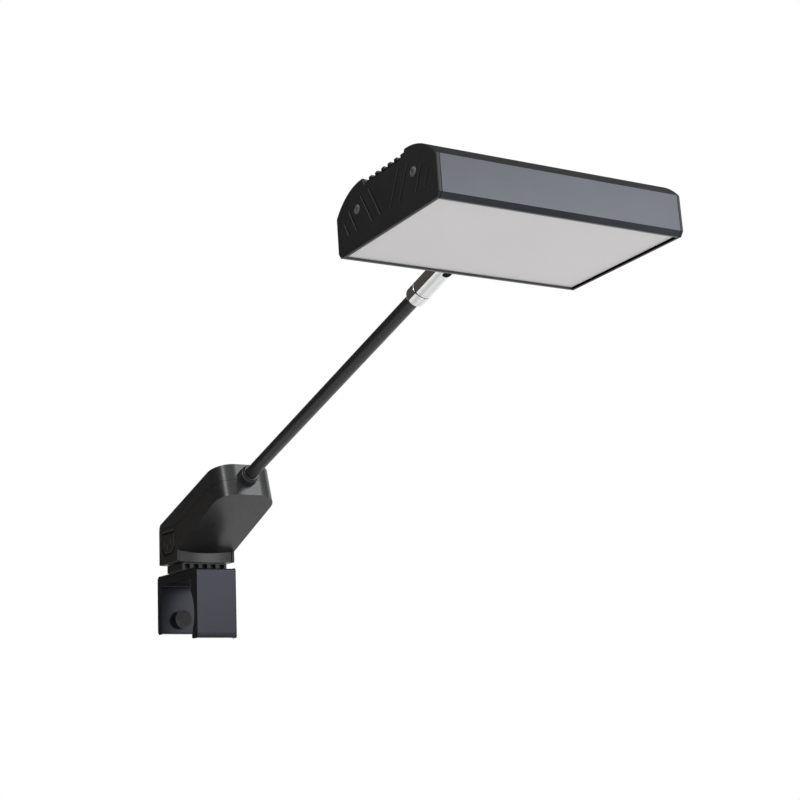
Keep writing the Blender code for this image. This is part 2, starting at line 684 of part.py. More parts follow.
def make_collar(arm_frame):
    """Fixed half of the knuckle: rounded lower edge, deep seat for the arm, small bore for the spigot."""
    start, end = ARM_LENGTH, ARM_LENGTH + COLLAR_LENGTH
    seat = end - 3 * MM
    edge = 2.2 * MM
    profile = [(ARM_R + GAP, start)]
    profile += [(KNUCKLE_R - edge + r, start + edge + z) for r, z in arc((0, 0), edge, -90, 0, 5)]
    profile += [(KNUCKLE_R, end - 0.3 * MM), (KNUCKLE_R - 0.3 * MM, end), (SPIGOT_R + GAP, end)]
    profile += [(SPIGOT_R + GAP, seat), (ARM_R + GAP, seat)]
    turned("knuckle_collar", profile, ROUND, finish=chrome(), parent=arm_frame)
    low = end + 0.1 * MM
    high = low + RING_THICKNESS - 0.2 * MM
    outer, inner = KNUCKLE_R - 0.5 * MM, SPIGOT_R + GAP
    ring = [(inner, low), (outer, low), (outer, high), (inner, high)]
    turned("swivel_ring", ring, ROUND, finish=dark_plastic(), parent=arm_frame)


def make_fork(swivel_axis):
    """Turning half of the knuckle. Its frame starts at the collar's upper end."""
    start = RING_THICKNESS
    pivot = PIVOT_AT - COLLAR_LENGTH
    end = pivot + KNUCKLE_R + MM
    profile = [
        (0, -SPIGOT_LENGTH + COLLAR_LENGTH),
        (SPIGOT_R, -SPIGOT_LENGTH + COLLAR_LENGTH),
        (SPIGOT_R, start),
        (KNUCKLE_R - 0.3 * MM, start),
        (KNUCKLE_R, start + 0.3 * MM),
        (KNUCKLE_R, end),
        (0, end),
    ]
    fork = turned("knuckle_fork", profile, ROUND, finish=chrome(), parent=swivel_axis)
    nose = arc((0, pivot), KNUCKLE_R + 0.05 * MM, 0, 180, 16)
    wide, deep = 20 * MM, -50 * MM
    nose += [(-wide, pivot), (-wide, deep), (wide, deep), (wide, pivot)]
    combine(fork, prism("fork_nose", nose, -wide, wide, "X", parent=swivel_axis), "INTERSECT")
    half = SLOT_WIDTH / 2
    slot_z = SLOT_BOTTOM - COLLAR_LENGTH
    centre = (half - SLOT_CORNER_R, slot_z + SLOT_CORNER_R)
    corner = arc(centre, SLOT_CORNER_R, -90, 0, 4)
    outline = [(-x, z) for x, z in reversed(corner)] + corner + [(half, end + MM), (-half, end + MM)]
    combine(fork, prism("fork_slot", outline, -wide, wide, "Y", parent=swivel_axis))
    at = (0, 0, pivot)
    combine(fork, rod("fork_hole", PIVOT_R + GAP, -wide, wide, axis="X", origin=at, parent=swivel_axis))
    for side in (-1, 1):
        edges = sorted((side * (KNUCKLE_R - PIVOT_HEAD - 0.6 * MM), side * wide))
        tool = rod(f"fork_sink{side}", PIVOT_HEAD_R + GAP, *edges, axis="X", origin=at, parent=swivel_axis)
        combine(fork, tool)
    make_pivot(swivel_axis, at)


def make_pivot(swivel_axis, at):
    """Screw through both ears with its head on the left, and a round slotted nut on the right."""
    seat = KNUCKLE_R - PIVOT_HEAD - 0.6 * MM + GAP
    shank_end = seat - GAP
    profile = [(0, -seat - PIVOT_HEAD), (PIVOT_HEAD_R, -seat - PIVOT_HEAD), (PIVOT_HEAD_R, -seat)]
    profile += [(PIVOT_R, -seat), (PIVOT_R, shank_end), (0, shank_end)]
    screw = turned("pivot_screw", profile, 24, "X", at, steel(), swivel_axis)
    edges = (-seat - PIVOT_HEAD - MM, -seat - 0.8 * MM)
    combine(screw, rod("pivot_socket", 1.4 * MM, *edges, 6, "X", at, parent=swivel_axis))
    profile = [(0, seat), (PIVOT_HEAD_R, seat), (PIVOT_HEAD_R, seat + PIVOT_HEAD), (0, seat + PIVOT_HEAD)]
    nut = turned("pivot_nut", profile, 24, "X", at, steel(), swivel_axis)
    low = (seat + PIVOT_HEAD - 0.7 * MM, -5 * MM, at[2] - 0.4 * MM)
    high = (seat + PIVOT_HEAD + MM, 5 * MM, at[2] + 0.4 * MM)
    combine(nut, block("nut_slot", low, high, parent=swivel_axis))


# ---- head ----------------------------------------------------------------------------------------


def shoulder(radius, start_y, end_y, steps):
    """Rear shoulder's arc from one depth to another, both counted from the middle."""
    turns = [math.degrees(math.acos((y - SHOULDER_Y) / radius)) for y in (start_y, end_y)]
    return arc((SHOULDER_Y, HEAD_TOP - SHOULDER_R), radius, *turns, steps)


def mirrored(points):
    return [(-y, z) for y, z in reversed(points)]


def outer_half():
    """Rear half of the outside, from the bottom lip up to the edge of the fin zone."""
    points = [(LIP_INNER, 0), (HEAD_HALF_DEPTH - EDGE_CHAMFER[0], 0), (HEAD_HALF_DEPTH, EDGE_CHAMFER[1])]
    return points + shoulder(SHOULDER_R, HEAD_HALF_DEPTH, SHOULDER_Y, 10) + [(FIN_ZONE, HEAD_TOP)]


def fin_outline():
    """Fins from rear to front, each a thin rib with a wider head."""
    points = [(FIN_ZONE, WEB_TOP)]
    for k in reversed(range(FIN_COUNT)):
        y = (k - (FIN_COUNT - 1) / 2) * FIN_PITCH
        neck, top = HEAD_TOP - FIN_HEAD - 0.5 * MM, HEAD_TOP - 0.2 * MM
        side = [(FIN_HALF, WEB_TOP), (FIN_HALF, neck), (FIN_HEAD_HALF, neck + 0.8 * MM), (FIN_HEAD_HALF, top)]
        points += [(y + dy, z) for dy, z in side] + [(y - dy, z) for dy, z in reversed(side)]
    return points + [(-FIN_ZONE, WEB_TOP)]


def inner_half():
    """Front half of the inside, from the bottom lip up and over to the middle of the web."""
    wall = HEAD_HALF_DEPTH - SKIN
    web = WEB_TOP - WEB_THICKNESS
    step = FIN_ZONE + WEB_THICKNESS
    y, z = CAP_SCREW
    neck = 1.1 * MM
    turn = math.degrees(math.acos(neck / PORT_R))
    points = [(LIP_INNER, 0), (LIP_INNER, LIP_THICKNESS), (wall, LIP_THICKNESS)]
    points += shoulder(SHOULDER_R - SKIN, wall, step, 8)
    points += [(step, WEB_TOP - 0.6 * MM), (y + neck, WEB_TOP - 0.6 * MM)]
    points += arc((y, z), PORT_R, turn, -180 - turn, 10)
    return points + [(y - neck, web)]


def head_outline():
    rear = outer_half()
    front = mirrored(rear)
    return rear + fin_outline() + front[:-1] + [(-y, z) for y, z in inner_half()] + inner_half()[:0:-1]


def make_head_body(head_frame):
    half = HEAD_LENGTH / 2 - CAP_THICKNESS - GAP
    body = prism("head_body", head_outline(), -half, half, "X", anodised(), head_frame)
    for x in (-1, 1):
        for y in (-1, 1):
            at = (0, y * CAP_SCREW[0], CAP_SCREW[1])
            edges = sorted((x * (half - 12 * MM), x * (half + MM)))
            combine(body, rod(f"port{x}{y}", 1.8 * MM, *edges, 16, "X", at, parent=head_frame))
    wall = HEAD_HALF_DEPTH
    for side in (-1, 1):
        at = (side * FLANGE_SCREW_X, 0, tongue_height())
        hole = rod(f"flange_hole{side}", 1.8 * MM, wall - 4 * MM, wall + MM, 16, "Y", at, parent=head_frame)
        combine(body, hole)
    at = (0, 0, tongue_height() - 5 * MM)
    combine(body, rod("lead_hole", 2.5 * MM, wall - 4 * MM, wall + MM, 16, "Y", at, parent=head_frame))


def cap_outline():
    """End view of the head with the fin zone cut lower, so that the fins stand above it."""
    rear = outer_half()[1:-1] + [(FIN_ZONE - 0.4 * MM, HEAD_TOP)]
    notch = [(FIN_ZONE - 2.5 * MM, CAP_NOTCH)]
    return rear + notch + mirrored(notch) + mirrored(rear)


def vent_outline(low_y, high_y, high_z, side):
    """A slanted slot with square ends, as (Y, Z)."""
    across = CAP_SLOT_WIDTH / 2
    points = [(low_y - across, CAP_SLOT_BOTTOM), (low_y + across, CAP_SLOT_BOTTOM)]
    points += [(high_y + across, high_z), (high_y - across, high_z)]
    return [(side * y, z) for y, z in points]


def make_cap(head_frame, side, name):
    inner = HEAD_LENGTH / 2 - CAP_THICKNESS
    edges = sorted((side * inner, side * HEAD_LENGTH / 2))
    cap = prism(f"end_cap_{name}", cap_outline(), *edges, "X", painted(), head_frame)
    through = sorted((side * (inner - MM), side * (HEAD_LENGTH / 2 + MM)))
    for k, (low_y, high_y, high_z) in enumerate(CAP_SLOTS):
        for y in (-1, 1):
            outline = vent_outline(low_y, high_y, high_z, y)
            combine(cap, prism(f"vent_{name}{k}{y}", outline, *through, "X", parent=head_frame))
    for y, place in ((-1, "front"), (1, "rear")):
        at = (0, y * CAP_SCREW[0], CAP_SCREW[1])
        face = HEAD_LENGTH / 2
        sink = [(0, inner - MM), (1.8 * MM, inner - MM), (1.8 * MM, face - 1.5 * MM)]
        sink = [(r, side * x) for r, x in sink + [(3.3 * MM, face), (3.3 * MM, face + MM), (0, face + MM)]]
        combine(cap, turned(f"sink_{name}{y}", sink, 24, "X", at, parent=head_frame))
        node = f"cap_screw_{name}_{place}"
        screw = turned(node, cap_screw_profile(side), 24, "X", at, black_steel(), head_frame)
        cross_recess(screw, side, at, face, head_frame)


def cap_screw_profile(side):
    """Countersunk screw with a low domed head, as (radius, X)."""
    face = HEAD_LENGTH / 2
    tip, neck = face - CAP_THICKNESS - 9 * MM, face - 1.3 * MM
    profile = [(0, tip), (1.5 * MM, tip), (1.5 * MM, neck), (2.8 * MM, face)]
    profile += [(2.4 * MM, face + 0.5 * MM), (0, face + 0.8 * MM)]
    return [(r, side * x) for r, x in profile]


def cross_recess(screw, side, at, face, head_frame):
    """Cross-shaped driver recess in the head of a screw."""
    arm, half = 1.5 * MM, 0.35 * MM
    outline = []
    for k in range(4):
        turn = math.radians(90 * k + 45)
        c, s = math.cos(turn), math.sin(turn)
        outline += [(c * y - s * z, s * y + c * z) for y, z in ((half, -half), (arm, -half), (arm, half))]
    outline = [(y + at[1], z + at[2]) for y, z in outline]
    edges = sorted((side * (face - 0.6 * MM), side * (face + 2 * MM)))
    combine(screw, prism(f"{screw.name}_cross", outline, *edges, "X", parent=head_frame))


def make_optics(head_frame):
    """Opal diffuser on the extrusion's lips, and the LED board under the web."""
    half = HEAD_LENGTH / 2 - CAP_THICKNESS - GAP
    depth = HEAD_HALF_DEPTH - SKIN - GAP
    low = LIP_THICKNESS + GAP
    block("diffuser", (-half, -depth, low), (half, depth, low + DIFFUSER_THICKNESS), opal(), head_frame)
    length, depth, thickness = LED_BOARD
    top = WEB_TOP - WEB_THICKNESS - GAP
    outline = led_board_outline(length, thickness, top)
    prism("led_board", outline, -depth, depth, "Y", opal(), head_frame)


def led_board_outline(length, thickness, top):
    """Front view of the board: a row of low bars, the LED strips, stands below it."""
    low = top - thickness
    half, deep = LED_STRIP[0] / 2, low - LED_STRIP[1]
    pitch = 2 * length / LED_COLUMNS
    points = [(-length, low)]
    for k in range(LED_COLUMNS):
        x = (k + 0.5) * pitch - length
        points += [(x - half, low), (x - half, deep), (x + half, deep), (x + half, low)]
    return points + [(length, low), (length, top), (-length, top)]


def pivot_in_head():
    """The tilt axis as (Y, Z) in the head's frame."""
    y, z = along_arm(0, ARM_LENGTH + PIVOT_AT)
    turn = math.radians(HEAD_TILT)
    dy, dz = y - HEAD_ORIGIN.y, z - HEAD_ORIGIN.z
    return dy * math.cos(turn) + dz * math.sin(turn), dz * math.cos(turn) - dy * math.sin(turn)


def tongue_height():
    return pivot_in_head()[1]


def make_tongue(head_frame):
    """Flat lug in the fork's slot, standing on a flange that two screws hold to the rear face."""
    y, z = pivot_in_head()
    face = HEAD_HALF_DEPTH + GAP
    half_x, half_z = FLANGE_HALF
    flange = [(dx, z + dz) for dx, dz in rounded_rectangle(half_x, half_z, 3 * MM)]
    tongue = prism("head_tongue", flange, face, face + FLANGE_THICKNESS, "Y", painted(), head_frame)
    start = face + FLANGE_THICKNESS / 2
    lug = [(start, z - TONGUE_R)] + arc((y, z), TONGUE_R, -90, 90, 14) + [(start, z + TONGUE_R)]
    half = TONGUE_THICKNESS / 2
    combine(tongue, prism("tongue_lug", lug, -half, half, "X", parent=head_frame), "UNION")
    at = (0, y, z)
    combine(tongue, rod("tongue_hole", PIVOT_R + GAP, -half - MM, half + MM, 24, "X", at, parent=head_frame))
    for side, name in ((-1, "left"), (1, "right")):
        at = (side * FLANGE_SCREW_X, 0, z)
        edges = (face - MM, face + 4 * MM)
        combine(tongue, rod(f"tongue_screw_hole{side}", 1.8 * MM, *edges, 16, "Y", at, parent=head_frame))
        seat = face + FLANGE_THICKNESS + GAP
        profile = [(0, face - 5 * MM), (1.5 * MM, face - 5 * MM), (1.5 * MM, seat), (2.5 * MM, seat)]
        profile += [(2.3 * MM, seat + 1.2 * MM), (0, seat + 1.6 * MM)]
        turned(f"tongue_screw_{name}", profile, SMALL_ROUND, "Y", at, steel(), head_frame)


# ---- assembly ------------------------------------------------------------------------------------


def main():
    clear_scene()
    make_clip()
    make_liner()
    make_clamp_screw()
    make_shoe()
    make_clip_screws()
    arm_frame = frame("arm_frame", END_CENTRE, math.pi / 2 - ARM_ANGLE)
    make_shells(arm_frame)
    make_shell_screws(arm_frame)
    make_link_outlet()
    make_mains_inlet()
    make_driver(arm_frame)
    make_arm(arm_frame)
    make_collar(arm_frame)
    swivel_axis = frame("swivel_axis", (0, 0, ARM_LENGTH + COLLAR_LENGTH), parent=arm_frame)
    make_fork(swivel_axis)
    y, z = along_arm(0, ARM_LENGTH + PIVOT_AT)
    tilt_axis = frame("tilt_axis", (0, y, z))
    head_frame = frame("head_frame", HEAD_ORIGIN - Vector((0, y, z)), math.radians(HEAD_TILT), tilt_axis)
    make_head_body(head_frame)
    make_cap(head_frame, -1, "left")
    make_cap(head_frame, 1, "right")
    make_optics(head_frame)
    make_tongue(head_frame)
    bpy.context.view_layer.update()


main()
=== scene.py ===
"""Finished model of the rail-mounted picture light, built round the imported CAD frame.

Pieces are surfaces worked out with numpy: an outline carried along a straight axis with rounded rims,
or a profile turned about an axis. Everything is in metres, in the frame of the CAD.
"""

import json
import math

import bmesh
import bpy
import numpy as np
from mathutils import Matrix, Vector


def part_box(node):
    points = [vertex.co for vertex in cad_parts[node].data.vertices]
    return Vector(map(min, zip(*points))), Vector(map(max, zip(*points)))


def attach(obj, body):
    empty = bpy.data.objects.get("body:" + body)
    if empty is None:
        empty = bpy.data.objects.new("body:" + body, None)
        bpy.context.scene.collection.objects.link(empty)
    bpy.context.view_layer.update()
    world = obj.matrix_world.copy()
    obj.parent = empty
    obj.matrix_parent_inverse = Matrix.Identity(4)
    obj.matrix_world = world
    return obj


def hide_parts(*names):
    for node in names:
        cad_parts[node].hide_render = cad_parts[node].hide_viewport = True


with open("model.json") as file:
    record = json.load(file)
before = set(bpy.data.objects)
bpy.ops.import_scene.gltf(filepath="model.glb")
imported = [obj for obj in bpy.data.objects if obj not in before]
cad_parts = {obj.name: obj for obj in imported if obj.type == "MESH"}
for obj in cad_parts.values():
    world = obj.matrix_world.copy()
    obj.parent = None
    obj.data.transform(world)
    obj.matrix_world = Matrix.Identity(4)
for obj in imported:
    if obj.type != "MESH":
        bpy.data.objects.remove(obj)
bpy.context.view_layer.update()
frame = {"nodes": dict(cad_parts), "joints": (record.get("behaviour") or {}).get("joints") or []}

MM = 0.001
GAP = 0.3 * MM
SUPPORT = 0.2 * MM  # between a rim's last ring and the ring that keeps the flat beyond it flat
JOINTS = {joint["name"]: joint for joint in frame["joints"]}

# The arm's frame: X across, Y up and square to the arm, Z along it, with z = 0 in the housing's end face
SWIVEL_AT = 280.9 * MM
ARM_DIRECTION = np.array(JOINTS["head_swivel"]["axis"], float)
END_CENTRE = np.array(JOINTS["head_swivel"]["pos_m"], float) - SWIVEL_AT * ARM_DIRECTION
ARM_ANGLE = math.asin(ARM_DIRECTION[2])
PIVOT = np.array(JOINTS["head_tilt"]["pos_m"], float)

# The head's frame: origin in the middle of the bottom face, Y to the rear, Z up
HEAD_TILT = math.radians(-2.9)
PIVOT_IN_HEAD = (70.318 * MM, 13.801 * MM)


def turned_about_x(angle, origin):
    """4 x 4 matrix of a turn about X followed by a move to the origin."""
    c, s = math.cos(angle), math.sin(angle)
    matrix = np.eye(4)
    matrix[1:3, 1:3] = ((c, -s), (s, c))
    matrix[:3, 3] = origin
    return matrix


def head_matrix():
    """The head's frame at rest: tilted, and moved so that its pivot lies on the tilt joint's."""
    turn = turned_about_x(HEAD_TILT, (0, 0, 0))
    return turned_about_x(HEAD_TILT, PIVOT - turn[:3, :3] @ np.array([0, *PIVOT_IN_HEAD]))


WORLD = np.eye(4)
ARM = turned_about_x(math.pi / 2 - ARM_ANGLE, END_CENTRE)
HEAD = head_matrix()


# ---- outlines ------------------------------------------------------------------------------------


def polar(radius, angle, centre=(0, 0)):
    """Points centre + radius (cos t, sin t) for every angle t in radians."""
    return np.stack([centre[0] + radius * np.cos(angle), centre[1] + radius * np.sin(angle)], 1)


def arc(centre, radius, start, end, steps):
    """Run of points on a circle, from start to end in degrees."""
    return polar(radius, np.radians(np.linspace(start, end, steps + 1)), centre)


def joined(*runs):
    """One outline from several runs of points, without doubled points."""
    points = np.concatenate([np.atleast_2d(run) for run in runs])
    apart = np.linalg.norm(points - np.roll(points, 1, axis=0), axis=1) > 1e-7
    return points[apart]


def unit(vectors):
    return vectors / np.linalg.norm(vectors, axis=-1, keepdims=True)


def rounded(corners, radius, steps=5):
    """Closed polygon whose corners become arcs.

    A corner p with the directions e0, e1 to its neighbours and the half angle h between them gets the
    centre p + r / sin h along the bisector, and the arc runs between the two tangent points.
    """
    p = np.array(corners, float)
    r = np.broadcast_to(np.maximum(np.array(radius, float), 1e-9), len(p))[:, None]
    e0, e1 = unit(np.roll(p, 1, axis=0) - p), unit(np.roll(p, -1, axis=0) - p)
    half = np.arccos(np.clip((e0 * e1).sum(1), -1, 1))[:, None] / 2
    centre = p + unit(e0 + e1) * r / np.sin(half)
    first, last = p + e0 * r / np.tan(half) - centre, p + e1 * r / np.tan(half) - centre
    sweep = (math.pi - 2 * half)[..., None]
    s = np.linspace(0, 1, steps + 1)[None, :, None]
    points = (np.sin((1 - s) * sweep) * first[:, None] + np.sin(s * sweep) * last[:, None]) / np.sin(sweep)
    return joined((points + centre[:, None]).reshape(-1, 2))


def supported(outline, reach=0.25 * MM, longest=1.5 * MM):
    """Adds a point just inside both ends of every long side, so that flat sides shade flat."""
    p = np.array(outline, float)
    side = np.roll(p, -1, axis=0) - p
    length = np.linalg.norm(side, axis=1, keepdims=True)
    step = side * reach / length
    rows = np.stack([p, p + step, p + side - step], 1)
    keep = np.repeat(length > longest, 3, axis=1)
    keep[:, 0] = True
    return rows[keep]


def inset(outline, distance):
    """The outline moved inwards along the bisector of each corner; it runs anticlockwise."""
    p = np.array(outline, float)
    before, after = unit(p - np.roll(p, 1, axis=0)), unit(np.roll(p, -1, axis=0) - p)
    n0, n1 = (np.stack([-side[:, 1], side[:, 0]], 1) for side in (before, after))
    return p + distance * (n0 + n1) / (1 + (n0 * n1).sum(1, keepdims=True))


def rectangle(half_width, half_height, radius, centre=(0, 0), steps=6):
    """Rectangle about its centre with rounded corners."""
    w, h = half_width, half_height
    return rounded([(w, h), (-w, h), (-w, -h), (w, -h)], radius, steps) + np.array(centre)


def box(left, right, low, high):
    """Corners of a plain rectangle; as a profile for lathe, a tube between two radii."""
    return [(left, low), (right, low), (right, high), (left, high)]


def stepped(radii, heights):
    """Profile for lathe of one cylinder on another: two radii, and the heights of foot, step and top."""
    first, second = radii
    foot, step, top = heights
    return [(0, foot), (first, foot), (first, step), (second, step), (second, top), (0, top)]


def circle(radius, sides=64, centre=(0, 0)):
    return arc(centre, radius, 0, 360, sides)[:-1]


# ---- meshes --------------------------------------------------------------------------------------

# For each axis, where an outline's two numbers and the height go
AXES = {"X": (1, 2, 0), "Y": (0, 2, 1), "Z": (0, 1, 2)}


def sheet_faces(rows, columns, offset=0):
    """Quads of a grid that closes on itself along its columns."""
    i, j = np.meshgrid(np.arange(rows - 1), np.arange(columns), indexing="ij")
    k = (j + 1) % columns
    quads = np.stack([i * columns + j, i * columns + k, (i + 1) * columns + k, (i + 1) * columns + j], -1)
    return (quads.reshape(-1, 4) + offset).tolist()


def loft(outline, steps, axis="Z", place=WORLD):
    """An outline carried along an axis, closed at both ends.

    Ring k is the outline moved in by steps[k][0], at height steps[k][1].
    """
    first, second, along = AXES[axis]
    rings = []
    for distance, height in steps:
        ring = np.empty((len(outline), 3))
        ring[:, [first, second]] = inset(outline, distance) if distance else outline
        ring[:, along] = height
        rings.append(ring)
    columns = len(outline)
    faces = sheet_faces(len(rings), columns)
    faces += [list(range(columns)), list(range((len(rings) - 1) * columns, len(rings) * columns))]
    return placed(np.concatenate(rings), place), faces


def span(first, last):
    """Steps for loft straight between two heights."""
    low, high = sorted((first, last))
    return [(0, low), (0, high)]


def rim(first, last, radius, steps=3):
    """Steps for loft between two heights, with quarter circles at both rims and a ring close to each."""
    low, high = sorted((first, last))
    t = np.linspace(0, math.pi / 2, steps + 1)
    inwards, along = radius * (1 - np.sin(t)), radius * (1 - np.cos(t))
    start = [(radius + SUPPORT, low), *zip(inwards, low + along), (0, low + radius + SUPPORT)]
    end = [(0, high - radius - SUPPORT), *zip(inwards[::-1], high - along[::-1]), (radius + SUPPORT, high)]
    return start + end


def lathe(profile, sides=96, axis="Z", centre=(0, 0, 0), place=WORLD):
    """A closed profile of (radius, height) turned about an axis: (r cos t, r sin t, h)."""
    first, second, along = AXES[axis]
    t = np.linspace(0, 2 * math.pi, sides, endpoint=False)
    r, h = np.array([*profile, profile[0]], float).T[..., None]
    points = np.empty((len(r), sides, 3))
    points[..., first] = r * np.cos(t)
    points[..., second] = r * np.sin(t)
    points[..., along] = h
    return placed(points.reshape(-1, 3) + np.array(centre), place), sheet_faces(len(r), sides)


def placed(points, place):
    """The points after a 4 x 4 matrix."""
    return points @ place[:3, :3].T + place[:3, 3]


def mesh_object(name, shape):
    """Object of one closed surface, its doubled points merged and its faces turned outwards."""
    points, faces = shape
    mesh = bpy.data.meshes.new(name)
    mesh.from_pydata(points.tolist(), [], faces)
    bm = bmesh.new()
    bm.from_mesh(mesh)
    bmesh.ops.remove_doubles(bm, verts=bm.verts, dist=1e-7)
    bmesh.ops.delete(bm, geom=[edge for edge in bm.edges if not edge.link_faces], context="EDGES")
    bmesh.ops.recalc_face_normals(bm, faces=bm.faces)
    bm.to_mesh(mesh)
    bm.free()
    obj = bpy.data.objects.new(name, mesh)
    bpy.context.scene.collection.objects.link(obj)
    return obj


def settle(obj):
    """Replaces the object's mesh by what its modifiers make of it."""
    bpy.context.view_layer.update()
    graph = bpy.context.evaluated_depsgraph_get()
    mesh = bpy.data.meshes.new_from_object(obj.evaluated_get(graph))
    obj.modifiers.clear()
    obj.data = mesh
    return obj


def cut(obj, *tools, operation="DIFFERENCE"):
    """Cuts each tool's shape from the object, or joins it on, and removes the tool."""
    helpers = [mesh_object(f"{obj.name}_tool", tool) if isinstance(tool, tuple) else tool for tool in tools]
    for helper in helpers:
        modifier = obj.modifiers.new("cut", "BOOLEAN")
        modifier.operation = operation
        modifier.object = helper
    settle(obj)
    for helper in helpers:
        bpy.data.objects.remove(helper)
    return obj


def soften(obj, width, angle=35, segments=3):
    """Rounds every edge sharper than the angle, in degrees."""
    modifier = obj.modifiers.new("soften", "BEVEL")
    modifier.width = width
    modifier.segments = segments
    modifier.limit_method = "ANGLE"
    modifier.angle_limit = math.radians(angle)
    modifier.harden_normals = True
    modifier.miter_outer = "MITER_ARC"
    return settle(obj)


def finish(obj, body, slot, material, *nodes, angle=32):
    """Shades a piece, gives it its material, and lets it stand for CAD nodes on their body."""
    obj.data.shade_smooth()
    obj.data.set_sharp_from_angle(angle=math.radians(angle))
    modifier = obj.modifiers.new("normals", "WEIGHTED_NORMAL")
    modifier.keep_sharp = True
    settle(obj)
    obj.data.materials.clear()
    obj.data.materials.append(material)
    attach(obj, body)
    if nodes:
        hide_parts(*nodes)
    return obj


# ---- finishes ------------------------------------------------------------------------------------


class Wire:
    """A socket's value, so that shader maths reads as a Python expression."""

    def __init__(self, paint, socket):
        self.paint, self.socket = paint, socket

    def math(self, operation, *others):
        values = dict(enumerate([self, *others]))
        return self.paint.node("ShaderNodeMath", {"operation": operation}, values)

    def __add__(self, other):
        return self.math("ADD", other)

    def __mul__(self, other):
        return self.math("MULTIPLY", other)

    def __sub__(self, other):
        return self.math("SUBTRACT", other)

    def __rsub__(self, other):
        return (self * -1) + other

    def above(self, edge, softness):
        """0 below the edge, 1 above it, with a ramp of this width."""
        settings = {"operation": "MULTIPLY", "use_clamp": True}
        return self.paint.node("ShaderNodeMath", settings, {0: self - edge, 1: 1 / softness})

    __radd__, __rmul__ = __add__, __mul__


class Paint:
    """One node material on a Principled shader."""

    def __init__(self, name, **uniform):
        self.material = bpy.data.materials.new(name)
        self.material.use_nodes = True
        self.tree = self.material.node_tree
        self.shader = self.tree.nodes["Principled BSDF"]
        for socket, value in uniform.items():
            self.set(socket.replace("_", " "), value)

    def set(self, socket, value):
        if isinstance(value, Wire):
            self.tree.links.new(value.socket, self.shader.inputs[socket])
        elif isinstance(value, tuple):
            self.shader.inputs[socket].default_value = (*value, 1)
        else:
            self.shader.inputs[socket].default_value = value

    def node(self, kind, settings, sockets, output=0):
        """Adds a node: its settings first, then the values or links of its sockets."""
        made = self.tree.nodes.new(kind)
        for name, value in settings.items():
            setattr(made, name, value)
        for name, value in sockets.items():
            if isinstance(value, Wire):
                self.tree.links.new(value.socket, made.inputs[name])
            else:
                made.inputs[name].default_value = value
        return Wire(self, made.outputs[output])

    def position(self, scale=(1, 1, 1), turn=(0, 0, 0)):
        where = self.node("ShaderNodeTexCoord", {}, {}, "Object")
        return self.node("ShaderNodeMapping", {}, {"Vector": where, "Scale": scale, "Rotation": turn})

    def noise(self, grain, detail=2.0, stretch=(1, 1, 1), turn=(0, 0, 0)):
        """Noise whose grain size is given in metres, stretched along the axes."""
        scale = tuple(1 / (grain * s) for s in stretch)
        sockets = {"Vector": self.position(scale, turn), "Scale": 1.0, "Detail": detail}
        return self.node("ShaderNodeTexNoise", {}, sockets, "Fac")

    def blend(self, factor, first, second):
        settings = {"data_type": "RGBA"}
        return self.node("ShaderNodeMix", settings, {0: factor, 6: (*first, 1), 7: (*second, 1)}, 2)

    def relief(self, height, depth):
        """Bump whose full height is this many metres."""
        sockets = {"Strength": 1.0, "Distance": depth, "Height": height}
        self.set("Normal", self.node("ShaderNodeBump", {}, sockets))


def anodised_extrusion(name, tint):
    """Black anodised aluminium: die lines along X, a slow bloom in the dye, and a fine etched grain."""
    paint = Paint(name, Metallic=0.75, IOR=1.5)
    lines = paint.noise(0.35 * MM, 3, (400, 1, 1))
    etch = paint.noise(0.12 * MM, 2)
    bloom = paint.noise(30 * MM, 2)
    tone = lines * 0.35 + bloom * 0.45 + 0.1
    paint.set("Base Color", paint.blend(tone, tuple(0.76 * c for c in tint), tuple(1.24 * c for c in tint)))
    paint.set("Roughness", lines * 0.1 + etch * 0.06 + bloom * 0.05 + 0.2)
    paint.relief(lines * 0.6 + etch * 0.4, 0.006 * MM)
    return paint.material


def powder_coat():
    """Fine matt powder coat: pebbled skin about a third of a millimetre across."""
    paint = Paint("powder_coat")
    pebbles = paint.noise(0.35 * MM, 3)
    handling = paint.noise(22 * MM, 3)
    tone = pebbles * 0.6 + handling * 0.4
    paint.set("Base Color", paint.blend(tone, (0.006, 0.006, 0.0065), (0.016, 0.016, 0.017)))
    paint.set("Roughness", pebbles * 0.12 + handling * 0.1 + 0.36)
    paint.relief(pebbles, 0.02 * MM)
    return paint.material


def tube_coat():
    """Smoother satin coat of the arm, with faint drawing lines along the tube."""
    paint = Paint("tube_coat")
    turn = (ARM_ANGLE, 0, 0)
    lines = paint.noise(0.3 * MM, 2, (1, 220, 1), turn)
    patches = paint.noise(16 * MM, 3)
    paint.set("Base Color", paint.blend(patches, (0.011, 0.011, 0.012), (0.022, 0.022, 0.023)))
    paint.set("Roughness", lines * 0.1 + patches * 0.08 + 0.3)
    paint.relief(lines, 0.008 * MM)
    return paint.material


def satin_shell():
    """Satin moulding of the housing: spark-eroded grain with a faint flow over the large faces."""
    paint = Paint("satin_shell")
    grain = paint.noise(0.16 * MM, 2)
    flow = paint.noise(26 * MM, 2, (1, 2.4, 1), (ARM_ANGLE, 0, 0))
    tone = grain * 0.4 + flow * 0.6
    paint.set("Base Color", paint.blend(tone, (0.012, 0.012, 0.0125), (0.026, 0.026, 0.027)))
    paint.set("Roughness", grain * 0.08 + flow * 0.1 + 0.2)
    paint.relief(grain, 0.006 * MM)
    return paint.material


def coarse_moulding():
    """Duller moulding with a coarser grain, for connectors, shoe and knob."""
    paint = Paint("coarse_moulding")
    grain = paint.noise(0.25 * MM, 3)
    paint.set("Base Color", paint.blend(grain, (0.008, 0.008, 0.008), (0.024, 0.023, 0.022)))
    paint.set("Roughness", grain * 0.16 + 0.42)
    paint.relief(grain, 0.016 * MM)
    return paint.material


